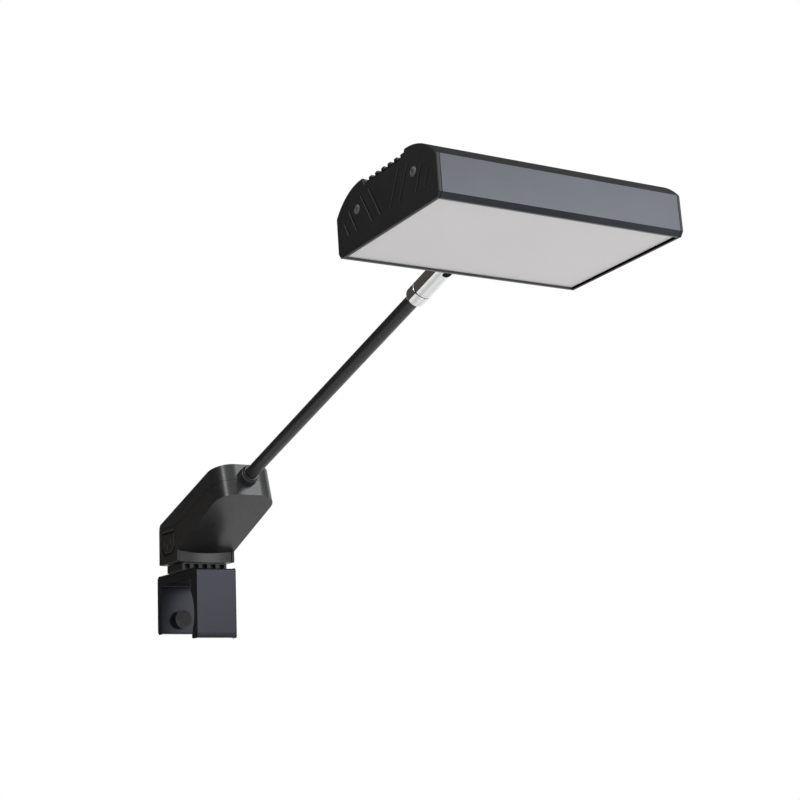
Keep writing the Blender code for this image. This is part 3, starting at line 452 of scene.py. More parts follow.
def grip_rubber():
    paint = Paint("grip_rubber")
    grain = paint.noise(0.2 * MM, 3)
    dust = paint.noise(7 * MM, 4)
    paint.set("Base Color", paint.blend(dust.above(0.5, 0.3), (0.03, 0.03, 0.031), (0.06, 0.059, 0.057)))
    paint.set("Roughness", grain * 0.12 + dust * 0.1 + 0.68)
    paint.relief(grain, 0.03 * MM)
    return paint.material


def polished_chrome():
    """Mirror chrome with the ghost of polishing lines round the piece and a few touch marks."""
    paint = Paint("polished_chrome", Metallic=1.0)
    lines = paint.noise(0.25 * MM, 2, (1, 1, 60), (ARM_ANGLE - math.pi / 2, 0, 0))
    touch = paint.noise(9 * MM, 4).above(0.56, 0.14)
    paint.set("Base Color", paint.blend(touch, (0.90, 0.905, 0.91), (0.82, 0.825, 0.83)))
    paint.set("Roughness", touch * 0.07 + lines * 0.03 + 0.035)
    paint.relief(lines, 0.0006 * MM)
    return paint.material


def plated_steel():
    paint = Paint("plated_steel", Metallic=1.0)
    crystals = paint.noise(0.4 * MM, 4)
    paint.set("Base Color", paint.blend(crystals, (0.42, 0.42, 0.41), (0.62, 0.61, 0.58)))
    paint.set("Roughness", crystals * 0.2 + 0.24)
    paint.relief(crystals, 0.006 * MM)
    return paint.material


def blackened_steel(name, low, high):
    """Oxidised steel, mottled between two greys."""
    paint = Paint(name, Metallic=0.6)
    mottle = paint.noise(0.5 * MM, 4)
    paint.set("Base Color", paint.blend(mottle, (low, low, low * 1.05), (high, high * 0.97, high * 0.93)))
    paint.set("Roughness", mottle * 0.16 + 0.26)
    paint.relief(mottle, 0.006 * MM)
    return paint.material


def nickel_brass():
    paint = Paint("nickel_brass", Metallic=1.0)
    rub = paint.noise(0.3 * MM, 3, (18, 1, 1))
    paint.set("Base Color", paint.blend(rub, (0.66, 0.60, 0.46), (0.76, 0.73, 0.66)))
    paint.set("Roughness", rub * 0.15 + 0.2)
    paint.relief(rub, 0.004 * MM)
    return paint.material


def opal_sheet():
    """Opal acrylic: satin face, a slow tone over the sheet, and a fine frosted grain."""
    paint = Paint("opal_sheet", Specular_IOR_Level=0.35)
    frost = paint.noise(0.3 * MM, 2)
    cloud = paint.noise(70 * MM, 2)
    paint.set("Base Color", paint.blend(cloud, (0.70, 0.685, 0.685), (0.76, 0.745, 0.745)))
    paint.set("Roughness", frost * 0.08 + 0.5)
    paint.relief(frost, 0.004 * MM)
    return paint.material


def led_mask():
    """White solder mask with phosphor dots every 12 mm along the board's strips."""
    paint = Paint("led_mask", Roughness=0.4)
    sockets = {"Vector": paint.position((84, 84, 84)), "Scale": 1.0, "Randomness": 0.0}
    dots = paint.node("ShaderNodeTexVoronoi", {"feature": "F1"}, sockets).above(0.2, 0.03)
    paint.set("Base Color", paint.blend(dots, (0.80, 0.62, 0.12), (0.82, 0.82, 0.80)))
    paint.relief(dots, 0.05 * MM)
    return paint.material


def circuit_mask():
    """Green solder mask with paler copper runs."""
    paint = Paint("circuit_mask", Roughness=0.35)
    sockets = {"Vector": paint.position((180, 60, 60)), "Scale": 1.0}
    copper = paint.node("ShaderNodeTexVoronoi", {"feature": "DISTANCE_TO_EDGE"}, sockets).above(0.1, 0.03)
    paint.set("Base Color", paint.blend(copper, (0.05, 0.24, 0.1), (0.015, 0.09, 0.04)))
    paint.relief(1 - copper, 0.03 * MM)
    return paint.material


def sleeve():
    paint = Paint("sleeve")
    wrinkle = paint.noise(1.5 * MM, 2, (1, 6, 1))
    paint.set("Base Color", paint.blend(wrinkle, (0.012, 0.012, 0.02), (0.03, 0.03, 0.045)))
    paint.set("Roughness", wrinkle * 0.2 + 0.25)
    paint.relief(wrinkle, 0.03 * MM)
    return paint.material


def dark_card():
    paint = Paint("dark_card", Roughness=0.9)
    paint.set("Base Color", paint.blend(paint.noise(0.3, 2), (0.05, 0.044, 0.039), (0.075, 0.066, 0.058)))
    return paint.material


def studio_floor():
    paint = Paint("studio_floor", Roughness=0.9)
    paint.set("Base Color", paint.blend(paint.noise(0.4, 2), (0.88, 0.88, 0.88), (0.91, 0.91, 0.91)))
    return paint.material


ANODISED = anodised_extrusion("head_anodising", (0.080, 0.083, 0.093))
CLIP_ANODISED = anodised_extrusion("clip_anodising", (0.030, 0.031, 0.038))
POWDER = powder_coat()
TUBE = tube_coat()
SATIN = satin_shell()
MOULDING = coarse_moulding()
RUBBER = grip_rubber()
CHROME = polished_chrome()
STEEL = plated_steel()
BLACK_STEEL = blackened_steel("blackened_steel", 0.02, 0.06)
CAP_STEEL = blackened_steel("grey_passivated_steel", 0.16, 0.3)
BRASS = nickel_brass()
OPAL = opal_sheet()
CARD = dark_card()

# ---- clamp ---------------------------------------------------------------------------------------

RAIL_R = 28.5 * MM
CLIP_LOW, CLIP_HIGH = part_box("rail_clip")
PLATE, LEG, REAR_LEG = 7.4 * MM, 10.5 * MM, 8 * MM
HOOK_R = RAIL_R + 2 * MM
REAR_LEG_BOTTOM = -12 * MM
CLIP_SCREWS = ((-10 * MM, "left"), (10 * MM, "right"))
CLIP_SCREW_Y = 2 * MM
CLIP_SCREW_HOLE_R = 2.3 * MM
CLAMP_HOLE_R = 3.3 * MM
HEX_R = 1.4 * MM
RIB_DEPTH = 0.22 * MM
GROOVE_RADII = (2.2 * MM, 3.9 * MM, 5.6 * MM)
SCALLOP_DEPTH = 0.5 * MM
POCKET_PITCH, POCKET_DEPTH = 7.75 * MM, 5 * MM


def clip_outline():
    """Side view of the hook: a front leg hollowed to the rail, a flat plate and a rear leg."""
    front, rear, top, bottom = CLIP_LOW.y, CLIP_HIGH.y, CLIP_HIGH.z, CLIP_LOW.z
    under, inner, rear_inner = top - PLATE, front + LEG, rear - REAR_LEG
    turn = math.degrees(math.acos(inner / HOOK_R))
    small, foot_r, front_r, rear_r, tip_r = MM, 1.6 * MM, 2.2 * MM, 3 * MM, 3.2 * MM
    groove, groove_depth = bottom + 3 * MM, 0.8 * MM
    return joined(
        arc((rear_inner - small, under - small), small, 0, 90, 3),
        [(inner, under)],
        arc((0, 0), HOOK_R, turn, 213, 40),
        arc((front + 6.2 * MM, bottom + tip_r), tip_r, 10, -110, 10),
        arc((front + foot_r, bottom + foot_r), foot_r, -100, -180, 6),
        [(front, groove - 0.9 * MM), (front + groove_depth, groove - 0.6 * MM)],
        [(front + groove_depth, groove + 0.2 * MM), (front, groove + 0.5 * MM)],
        arc((front + front_r, top - front_r), front_r, 180, 90, 9),
        arc((rear - rear_r, top - rear_r), rear_r, 90, 0, 9),
        arc((rear - rear_r, REAR_LEG_BOTTOM + rear_r), rear_r, 0, -90, 9),
        arc((rear_inner + small, REAR_LEG_BOTTOM + small), small, -90, -180, 4),
    )


def countersink(radius, shank, face, depth):
    """Profile of a countersunk head that looks down, with its flat at height face."""
    return [(0, face), (radius, face), (shank, face + radius - shank), (shank, depth), (0, depth)]


def make_clip():
    """Hook with a hole for the clamp screw in its rear leg and two countersinks under its plate."""
    half = CLIP_HIGH.x
    clip = mesh_object("clip", loft(supported(clip_outline()), rim(-half, half, 0.35 * MM), "X"))
    tools = [lathe(box(0, CLAMP_HOLE_R, 30 * MM, 50 * MM), 48, "Y")]
    face = CLIP_HIGH.z - PLATE - 0.2 * MM
    profile = countersink(4.4 * MM, CLIP_SCREW_HOLE_R, face, CLIP_HIGH.z + MM)
    tools += [lathe(profile, 48, "Z", (x, CLIP_SCREW_Y, 0)) for x, _ in CLIP_SCREWS]
    finish(cut(clip, *tools), "base", "anodised_aluminium", CLIP_ANODISED, "rail_clip")


def make_liner():
    """Grip strip with shallow ribs along the rail: r = inner + depth (1 - cos 56 t) / 2."""
    inner, outer = RAIL_R + 0.15 * MM, HOOK_R - GAP
    outer_y = CLIP_LOW.y + LEG + GAP
    inner_y = outer_y + 2.9 * MM
    top = CLIP_HIGH.z - PLATE - GAP
    start = math.degrees(math.acos(inner_y / inner))
    t = np.radians(np.linspace(start, 209, 200))
    inside = polar(inner + RIB_DEPTH * (1 - np.cos(56 * t)) / 2, t)
    outside = arc((0, 0), outer, 209.5, math.degrees(math.acos(outer_y / outer)), 30)
    outline = joined(outside, [(outer_y, top), (inner_y, top)], inside)[::-1]
    low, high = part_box("rail_liner")
    liner = mesh_object("liner", loft(outline, span(low.x, high.x), "X"))
    finish(liner, "base", "grip_rubber", RUBBER, "rail_liner")


def make_clip_screws():
    """Countersunk screws with hexagonal sockets, heads down."""
    face = CLIP_HIGH.z - PLATE + 0.2 * MM
    for x, name in CLIP_SCREWS:
        node = f"clip_screw_{name}"
        profile = supported(countersink(3.9 * MM, 2 * MM, face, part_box(node)[1].z))
        screw = mesh_object(f"clip_screw_piece_{name}", lathe(profile, 64, "Z", (x, CLIP_SCREW_Y, 0)))
        socket = loft(circle(HEX_R, 6, (x, CLIP_SCREW_Y)), span(face - MM, face + 1.6 * MM))
        finish(cut(screw, socket), "base", "plated_steel", STEEL, node)


def threaded(radius, depth, pitch, start, end, sides=48, per_turn=10):
    """Rod along Y whose radius falls by depth in a V: r = R - depth |2 frac(h / pitch - t / 2 pi) - 1|."""
    rows = int((end - start) / pitch * per_turn)
    h = np.linspace(start, end, rows)[:, None]
    t = np.linspace(0, 2 * math.pi, sides, endpoint=False)[None]
    fade = np.clip(np.minimum(h - start, end - h) / pitch, 0, 1)
    groove = np.abs(2 * ((h / pitch - t / (2 * math.pi)) % 1) - 1)
    r = radius - depth * (1 - fade + fade * groove)
    points = np.stack([r * np.cos(t), h + 0 * t, r * np.sin(t)], -1).reshape(-1, 3)
    faces = sheet_faces(rows, sides)
    return points, faces + [list(range(sides)), list(range((rows - 1) * sides, rows * sides))]


def make_pad():
    """Pressure pad with three grip grooves in its face and a blind hole for the screw's nose."""
    low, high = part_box("pressure_pad")
    radius, face, back = high.x, low.y, high.y
    groove = ((-0.35 * MM, 0), (-0.15 * MM, 0.35 * MM), (0.15 * MM, 0.35 * MM), (0.35 * MM, 0))
    grooves = [(r + dr, face + dy) for r in GROOVE_RADII for dr, dy in groove]
    hole_r, hole_end = 2.3 * MM, face + 1.2 * MM
    profile = [(hole_r, back), (hole_r, hole_end), (0, hole_end), (0, face), *grooves]
    profile += [(radius - 0.5 * MM, face), (radius, face + 0.5 * MM)]
    profile += [(radius, back - 0.6 * MM), (radius - 0.6 * MM, back)]
    pad = mesh_object("pad", lathe(profile, 72, "Y"))
    finish(pad, "clamp_pad", "grip_rubber", RUBBER, "pressure_pad")


def make_clamp_screw():
    """Threaded screw with a plain nose that stands in the pad."""
    low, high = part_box("clamp_screw")
    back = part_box("pressure_pad")[1].y
    screw = mesh_object("threaded_screw", threaded(3 * MM, 0.45 * MM, MM, back + GAP, high.y))
    nose = [(0, low.y), (1.7 * MM, low.y), (2 * MM, low.y + 0.3 * MM), (2 * MM, back + MM), (0, back + MM)]
    cut(screw, lathe(nose, 48, "Y"), operation="UNION")
    finish(screw, "thumb_screw", "plated_steel", STEEL, "clamp_screw")


def make_knob():
    """Knob with twelve scallops, bored for the screw and dished behind: r = R - depth (1 - cos 12 t)."""
    low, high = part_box("clamp_knob")
    t = np.linspace(0, 2 * math.pi, 240, endpoint=False)
    outline = polar(high.x - SCALLOP_DEPTH * (1 - np.cos(12 * t)), t)
    knob = mesh_object("knob", loft(outline, rim(low.y, high.y, 0.8 * MM, 5), "Y"))
    hole = lathe(box(0, CLAMP_HOLE_R, low.y - MM, high.y - MM), 48, "Y")
    floor, mouth = high.y - 0.7 * MM, high.y + MM
    dish = lathe([(0, floor), (5.6 * MM, floor), (6.3 * MM, mouth), (0, mouth)], 72, "Y")
    finish(cut(knob, hole, dish), "thumb_screw", "moulded_plastic", MOULDING, "clamp_knob")


def make_shoe():
    """Ribbed plate with a row of rounded pockets in its front and rear edges."""
    low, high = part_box("shoe_plate")
    centre = ((low.x + high.x) / 2, (low.y + high.y) / 2)
    outline = rectangle((high.x - low.x) / 2, (high.y - low.y) / 2, 1.2 * MM, centre)
    shoe = mesh_object("shoe", loft(supported(outline), rim(low.z, high.z, 0.4 * MM)))
    tools = []
    for k in range(-2, 3):
        place = (k * POCKET_PITCH, (low.z + high.z) / 2)
        pocket = rectangle(2.2 * MM, 2.05 * MM, 0.5 * MM, place, 3)
        tools.append(loft(pocket, span(low.y - MM, low.y + POCKET_DEPTH), "Y"))
        tools.append(loft(pocket, span(high.y - POCKET_DEPTH, high.y + MM), "Y"))
    for x, _ in CLIP_SCREWS:
        hole = box(0, CLIP_SCREW_HOLE_R, low.z - MM, high.z + MM)
        tools.append(lathe(hole, 48, "Z", (x, CLIP_SCREW_Y, 0)))
    finish(cut(shoe, *tools), "base", "moulded_plastic", MOULDING, "shoe_plate")


# ---- power housing -------------------------------------------------------------------------------

FOOT_FRONT, FOOT_REAR, FOOT_BOTTOM = -16.5 * MM, 20.5 * MM, 43.2 * MM
LIP_HEIGHT = 9.2 * MM
LIP_HOLLOW = 4 * MM
UNDERSIDE_ANGLE = math.radians(22.3)
HALF_WIDTH = 25.8 * MM
TOP_ABOVE, SEAM_BELOW, END_BELOW = 11.2 * MM, 2.6 * MM, 15.5 * MM
CORNER_R = 17 * MM
PANEL_TOP = 73 * MM
REAR_CHAMFER = (2.4 * MM, 3.4 * MM)
SHELL_SCREWS = [(side * x, z) for x, z in ((16.5 * MM, -20 * MM), (20 * MM, -74 * MM)) for side in (-1, 1)]
SOCKET_CENTRE = np.array([3 * MM, 59.9 * MM])
SOCKET_HALF = (11.8 * MM, 7.75 * MM)
SOCKET_CHAMFER = (5 * MM, 5.4 * MM)
GROOVE_WIDTH = 2.2 * MM
CONTACTS = (("line", -7 * MM, MM), ("neutral", 7 * MM, MM), ("earth", 0, -3 * MM))


def along_arm(y, z):
    """World (Y, Z) of a point of the side view given in the arm's frame."""
    return tuple(placed(np.array([0, y, z]), ARM)[1:])


def housing_side():
    """Side view of the housing in world (Y, Z): a level foot and a body that rises along the arm."""
    end_low, end_high = along_arm(-END_BELOW, 0), along_arm(TOP_ABOVE, 0)
    rear_top = end_high[1] - (FOOT_REAR - end_high[0]) * math.tan(ARM_ANGLE)
    back, down = REAR_CHAMFER
    return [
        (FOOT_FRONT, FOOT_BOTTOM), (FOOT_REAR, FOOT_BOTTOM), (FOOT_REAR, rear_top - down),
        (FOOT_REAR - back, rear_top + back * math.tan(ARM_ANGLE)), end_high, end_low,
        (FOOT_FRONT, FOOT_BOTTOM + LIP_HEIGHT),
    ]


def housing_plan():
    """View square to the top face, as (X, place along the arm's axis)."""
    near = -150 * MM
    inner = HALF_WIDTH - CORNER_R
    return joined(
        [(-HALF_WIDTH, near), (HALF_WIDTH, near)],
        arc((inner, -CORNER_R), CORNER_R, 0, 90, 20),
        arc((-inner, -CORNER_R), CORNER_R, 90, 180, 20),
    )


def lip_hollow():
    """Wedge under the sloping face, limited by a cylinder, that hollows the foot's front face."""
    slope = math.tan(UNDERSIDE_ANGLE)
    front, rear = FOOT_FRONT - 14 * MM, FOOT_FRONT + 2 * LIP_HOLLOW
    lip = FOOT_BOTTOM + LIP_HEIGHT
    side = [(front, FOOT_BOTTOM - MM), (rear, FOOT_BOTTOM - MM), (rear, lip - slope * (rear - FOOT_FRONT))]
    side += [(FOOT_FRONT, lip), (front, lip)]
    wedge = mesh_object("lip_wedge", loft(side, span(-30 * MM, 30 * MM), "X"))
    radius = (HALF_WIDTH**2 + LIP_HOLLOW**2) / (2 * LIP_HOLLOW)
    centre = (0, FOOT_FRONT + LIP_HOLLOW - radius)
    drum = loft(circle(radius, 720, centre), span(30 * MM, 70 * MM))
    return cut(wedge, drum, operation="INTERSECT")


def panel_window(side):
    """Recess in both shells for one side panel."""
    corners = box(FOOT_FRONT + 0.25 * MM, FOOT_REAR + MM, FOOT_BOTTOM - MM, PANEL_TOP + 0.15 * MM)
    return loft(corners, span(side * (HALF_WIDTH - 2.5 * MM), side * (HALF_WIDTH + MM)), "X")


def screw_wells():
    """Wells in the top face for the shell screws, flared at the mouth."""
    floor, flare, mouth = 6 * MM, 10.9 * MM, 11.5 * MM
    profile = [(0, floor), (3.1 * MM, floor), (3.1 * MM, flare), (3.6 * MM, mouth), (0, mouth)]
    return [lathe(profile, 48, "Y", (x, 0, z), ARM) for x, z in SHELL_SCREWS]


def make_shell(name, low, high, hollows, wells):
    """Side view and plan intersected between two heights over the arm's axis, cut and then rounded."""
    shell = mesh_object(f"housing_{name}", loft(housing_side(), span(-HALF_WIDTH, HALF_WIDTH), "X"))
    plan = loft(housing_plan(), span(low, high), "Y", ARM)
    cut(shell, plan, operation="INTERSECT")
    cut(shell, *hollows, panel_window(-1), panel_window(1))
    bushing_hole = lathe(box(0, 5.3 * MM, -3 * MM, MM), 64, "Z", place=ARM)
    soften(cut(shell, bushing_hole, *wells), 0.7 * MM)
    finish(shell, "base", "housing_plastic", SATIN, name, angle=30)


def make_shells():
    """Two shells that meet along a fine line."""
    far, line = 0.2, 0.1 * MM
    make_shell("lower_shell", -far, -SEAM_BELOW - line, [lip_hollow()], [])
    make_shell("upper_shell", -SEAM_BELOW + line, far, [], screw_wells())


def star(radius, centre):
    """Six-lobed driver recess: r = R (0.86 + 0.14 cos 6 t)."""
    t = np.linspace(0, 2 * math.pi, 72, endpoint=False)
    return polar(radius * (0.86 + 0.14 * np.cos(6 * t)), t, centre)


def make_shell_screws():
    """Pan-head screws in the wells of the top face."""
    corners = stepped((1.5 * MM, 2.7 * MM), (4 * MM, 6.3 * MM, 8.3 * MM))
    profile = supported(rounded(corners, [0, 0, 0.1 * MM, 0.2 * MM, 0.8 * MM, 0]), 0.1 * MM, 0.8 * MM)
    for number, (x, z) in enumerate(SHELL_SCREWS, 1):
        screw = mesh_object(f"shell_screw_piece_{number}", lathe(profile, 48, "Y", (x, 0, z), ARM))
        recess = loft(star(1.3 * MM, (x, z)), span(7.1 * MM, 9 * MM), "Y", ARM)
        finish(cut(screw, recess), "base", "blackened_steel", BLACK_STEEL, f"shell_screw_{number}")


def socket_outline(margin=0.0, radius=0.8 * MM):
    """Rectangle with its two lower corners cut off, in world (Y, Z)."""
    half_y, half_z = SOCKET_HALF[0] + margin, SOCKET_HALF[1] + margin
    cut_y, cut_z = SOCKET_CHAMFER
    corners = [(-half_y, half_z), (-half_y, cut_z - half_z), (cut_y - half_y, -half_z)]
    corners += [(half_y - cut_y, -half_z), (half_y, cut_z - half_z), (half_y, half_z)]
    return rounded(corners, radius, 4) + SOCKET_CENTRE


def panel_piece(name, side, depth):
    """Side panel of the foot with rounded rims, and the socket's body that reaches this deep."""
    outline = supported(rounded(box(FOOT_FRONT, FOOT_REAR, FOOT_BOTTOM, PANEL_TOP), 0.8 * MM))
    steps = rim(side * (HALF_WIDTH - 2.2 * MM), side * HALF_WIDTH, 0.5 * MM)
    panel = mesh_object(name, loft(outline, steps, "X"))
    body = rectangle(15.1 * MM, 10.8 * MM, 1.5 * MM, SOCKET_CENTRE)
    steps = span(side * (HALF_WIDTH - 1.5 * MM), side * (HALF_WIDTH - depth))
    return cut(panel, loft(body, steps, "X"), operation="UNION")


def contact_outline(y, z):
    """Upright flat section of one contact, in world (Y, Z)."""
    return rectangle(MM, 2.2 * MM, 0.3 * MM, SOCKET_CENTRE + np.array([y, z]), 3)


def make_outlet():
    """Female outlet: an island with chamfered rim and three flared slots inside a moulded groove."""
    outlet = panel_piece("outlet", -1, 13 * MM)
    mouth = -HALF_WIDTH
    flare = [(-0.6 * MM, mouth - 0.5 * MM), (-0.5 * MM, mouth - 0.01 * MM)]
    flare += [(0, mouth + 0.5 * MM), (0, mouth + 6 * MM)]
    groove = mesh_object("groove_tool", loft(socket_outline(GROOVE_WIDTH, 1.2 * MM), flare, "X"))
    chamfer = [(0.5 * MM, mouth + 0.25 * MM), (0, mouth + 0.8 * MM), (0, mouth + 8 * MM)]
    cut(groove, loft(socket_outline(), chamfer, "X"))
    cut(outlet, groove)
    steps = [(-0.5 * MM, mouth - 0.2 * MM), (0, mouth + 0.6 * MM), (0, mouth + 10.5 * MM)]
    slots = [loft(contact_outline(y, z), steps, "X") for _, y, z in CONTACTS]
    finish(cut(outlet, *slots), "base", "moulded_plastic", MOULDING, "link_outlet")


def make_inlet():
    """Male inlet: a flared recess with three flat pins whose tips are tapered."""
    inlet = panel_piece("inlet", 1, 19 * MM)
    mouth, floor, tip = HALF_WIDTH, HALF_WIDTH - 15 * MM, HALF_WIDTH - 4 * MM
    steps = [(0, floor), (0, mouth - 0.6 * MM), (-0.5 * MM, mouth + 0.01 * MM), (-0.6 * MM, mouth + MM)]
    cut(inlet, loft(socket_outline(0.3 * MM), steps, "X"))
    finish(inlet, "base", "moulded_plastic", MOULDING, "mains_inlet")
    steps = [(0, floor), (0, tip - 1.6 * MM), (0.35 * MM, tip - 0.3 * MM), (0.6 * MM, tip)]
    for name, y, z in CONTACTS:
        pin = mesh_object(f"inlet_pin_piece_{name}", loft(supported(contact_outline(y, z)), steps, "X"))
        finish(pin, "base", "plated_brass", BRASS, f"inlet_pin_{name}")


# ---- arm and knuckle -----------------------------------------------------------------------------

ARM_LENGTH = 270 * MM
COLLAR_LENGTH = 10.9 * MM
KNUCKLE_R = 7.5 * MM
ARM_R = 5 * MM
ARM_HOLE_R = ARM_R + 0.05 * MM
SPIGOT_HOLE_R = 3.5 * MM
SLOT_BOTTOM = 38 * MM
SLOT_WIDTH = 6.6 * MM
EAR = KNUCKLE_R - 2.6 * MM
PIVOT_Z = ARM_LENGTH + 44.6 * MM
PIVOT_HOLE_R = 2.3 * MM


def make_arm():
    """Steel tube from inside the housing into the collar."""
    profile = supported(box(3.6 * MM, ARM_R, -14 * MM, ARM_LENGTH + 7.5 * MM))
    finish(mesh_object("arm", lathe(profile, 96, place=ARM)), "base", "powder_coat", TUBE, "arm_tube")


def make_bushing():
    """Tapered collar where the arm leaves the housing, with a narrow neck on top."""
    corners = [(ARM_HOLE_R, 0.1 * MM), (7.9 * MM, 0.1 * MM), (7.4 * MM, 5.6 * MM)]
    corners += [(6.6 * MM, 6.1 * MM), (6.4 * MM, 8 * MM), (ARM_HOLE_R, 8 * MM)]
    profile = supported(rounded(corners, [0, 0.3 * MM, 0.5 * MM, 0.4 * MM, 0.4 * MM, 0.2 * MM]))
    bushing = mesh_object("bushing", lathe(profile, 96, place=ARM))
    finish(bushing, "base", "powder_coat", SATIN, "arm_bushing")


def make_collar():
    """Chrome collar on the end of the arm, and the ring that parts it from the fork."""
    start, end = ARM_LENGTH, ARM_LENGTH + COLLAR_LENGTH
    shelf = end - 3 * MM
    corners = [(ARM_HOLE_R, start), (KNUCKLE_R, start), (KNUCKLE_R, end)]
    corners += [(SPIGOT_HOLE_R, end), (SPIGOT_HOLE_R, shelf), (ARM_HOLE_R, shelf)]
    profile = supported(rounded(corners, [0.3 * MM, 2 * MM, 0.35 * MM, 0.2 * MM, 0, 0], 10), 0.1 * MM)
    collar = mesh_object("collar", lathe(profile, 128, place=ARM))
    finish(collar, "base", "polished_chrome", CHROME, "knuckle_collar")
    ring = box(SPIGOT_HOLE_R, KNUCKLE_R - 0.45 * MM, end + 0.1 * MM, end + 0.7 * MM)
    washer = mesh_object("washer", lathe(ring, 96, place=ARM))
    finish(washer, "base", "moulded_plastic", MOULDING, "swivel_ring")


def make_fork():
    """Chrome fork: a rod whose end is turned about the pivot, slotted for the tongue, bored for the screw."""
    start = ARM_LENGTH + COLLAR_LENGTH + 0.8 * MM
    spigot = start - 9 * MM
    corners = stepped((3.2 * MM, KNUCKLE_R), (spigot, start, PIVOT_Z + 9 * MM))
    profile = supported(rounded(corners, [0, 0.4 * MM, 0, 0.35 * MM, 0, 0], 6), 0.1 * MM)
    fork = mesh_object("fork", lathe(profile, 128, place=ARM))
    wide, centre = 12 * MM, (0, 0, PIVOT_Z)
    end = arc((0, PIVOT_Z), KNUCKLE_R + 0.03 * MM, 0, 180, 60)
    nose = joined(end, [(-wide, PIVOT_Z), (-wide, spigot - MM), (wide, spigot - MM), (wide, PIVOT_Z)])
    cut(fork, loft(nose, span(-wide, wide), "X", ARM), operation="INTERSECT")
    half, corner = SLOT_WIDTH / 2, 2 * MM
    bottom, top = ARM_LENGTH + SLOT_BOTTOM, PIVOT_Z + 12 * MM
    slot = rounded([(half, bottom), (half, top), (-half, top), (-half, bottom)], [corner, 0, 0, corner], 10)
    tools = [loft(slot, span(-wide, wide), "Y", ARM)]
    tools.append(lathe(box(0, PIVOT_HOLE_R, -wide, wide), 64, "X", centre, ARM))
    for side in (-1, 1):
        tools.append(lathe(box(0, 3.7 * MM, side * EAR, side * wide), 64, "X", centre, ARM))
    finish(cut(fork, *tools), "knuckle", "polished_chrome", CHROME, "knuckle_fork", angle=25)


def make_pivot():
    """Socket-headed screw through the fork on the left, and its slotted nut on the right."""
    centre, seat, head = (0, 0, PIVOT_Z), EAR + 0.3 * MM, 3.4 * MM
    corners = stepped((head, 2 * MM), (-seat - 2 * MM, -seat, seat - 0.3 * MM))
    profile = supported(rounded(corners, [0, 0.35 * MM, 0, 0, 0, 0]), 0.1 * MM)
    screw = mesh_object("pivot_bolt", lathe(profile, 64, "X", centre, ARM))
    socket = loft(circle(HEX_R, 6, (0, PIVOT_Z)), span(-seat - 3 * MM, -seat - 0.7 * MM), "X", ARM)
    finish(cut(screw, socket), "knuckle", "plated_steel", STEEL, "pivot_screw")
    corners = box(0, head, seat, seat + 2 * MM)
    profile = supported(rounded(corners, [0, 0, 0.35 * MM, 0]), 0.1 * MM)
    nut = mesh_object("pivot_cap_nut", lathe(profile, 64, "X", centre, ARM))
    outline = rectangle(5 * MM, 0.4 * MM, 0.05 * MM, (0, PIVOT_Z), 1)
    slot = loft(outline, span(seat + 1.3 * MM, seat + 3 * MM), "X", ARM)
    finish(cut(nut, slot), "knuckle", "plated_steel", STEEL, "pivot_nut")


# ---- head ----------------------------------------------------------------------------------------

HEAD_LENGTH = 180.4 * MM
HALF_DEPTH = 57.9 * MM
HEAD_TOP = 41.7 * MM
SHOULDER_R, SHOULDER_Y = 42 * MM, 25.6 * MM
FIN_ZONE = 24.9 * MM
WEB_TOP = 31 * MM
SKIN = 2.4 * MM
FINS, FIN_PITCH = 6, 7.35 * MM
EDGE_CHAMFER = (2.5 * MM, 3.3 * MM)
LIP_INNER, LIP_THICKNESS = 53.7 * MM, 1.4 * MM
CAP = 2.2 * MM
CAP_NOTCH = 37.2 * MM
CAP_SCREW = (32.5 * MM, 24.5 * MM)
CAP_SLOTS = ((5.5, 17.4, 32.7), (15.6, 27.1, 31.5), (34.0, 42.0, 26.5), (43.5, 48.6, 20.8))
CAP_SLOT_BOTTOM = 11.4 * MM
CAP_SLOT_WIDTH = 1.3 * MM
FLANGE_FACE = HALF_DEPTH + 0.05 * MM
FLANGE_SEAT = FLANGE_FACE + 2.6 * MM


def mirrored(points):
    """A run of the rear half as the front half has it, in the order that goes on round the outline."""
    return (np.atleast_2d(points) * (-1, 1))[::-1]


def shoulder(radius, start_y, end_y, steps):
    """Arc of the head's shoulder between two places across."""
    turns = [math.degrees(math.acos((y - SHOULDER_Y) / radius)) for y in (start_y, end_y)]
    return arc((SHOULDER_Y, HEAD_TOP - SHOULDER_R), radius, turns[0], turns[1], steps)


def rear_outside():
    """Rear half of the outside: small radii at the chamfer, flat band, and the shoulder's arc."""
    chamfer_y, chamfer_z = EDGE_CHAMFER
    edge = [(LIP_INNER, 0), (HALF_DEPTH - chamfer_y, 0), (HALF_DEPTH, chamfer_z)]
    beyond = [(HALF_DEPTH, 20 * MM), (0, 20 * MM)]
    band = rounded(edge + beyond, [0.2 * MM, 0.5 * MM, 0.6 * MM, 0, 0])[:-len(beyond)]
    return joined(band, shoulder(SHOULDER_R, HALF_DEPTH - 0.001 * MM, SHOULDER_Y, 36))


def fins():
    """Fins from rear to front, each a thin rib with a wider rounded head."""
    rib, wide, top, neck = 0.9 * MM, 1.9 * MM, HEAD_TOP - 0.2 * MM, HEAD_TOP - 2.2 * MM
    corners = [(wide, neck), (wide, top), (-wide, top), (-wide, neck)]
    head = rounded(corners, [0.35 * MM, 0.8 * MM, 0.8 * MM, 0.35 * MM], 4)
    fin = joined([(rib, WEB_TOP), (rib, neck)], head, [(-rib, neck), (-rib, WEB_TOP)])
    row = [fin + ((k - (FINS - 1) / 2) * FIN_PITCH, 0) for k in reversed(range(FINS))]
    rear_wall = [(FIN_ZONE, HEAD_TOP), (FIN_ZONE, WEB_TOP)]
    return joined(rear_wall, *row, mirrored(rear_wall))


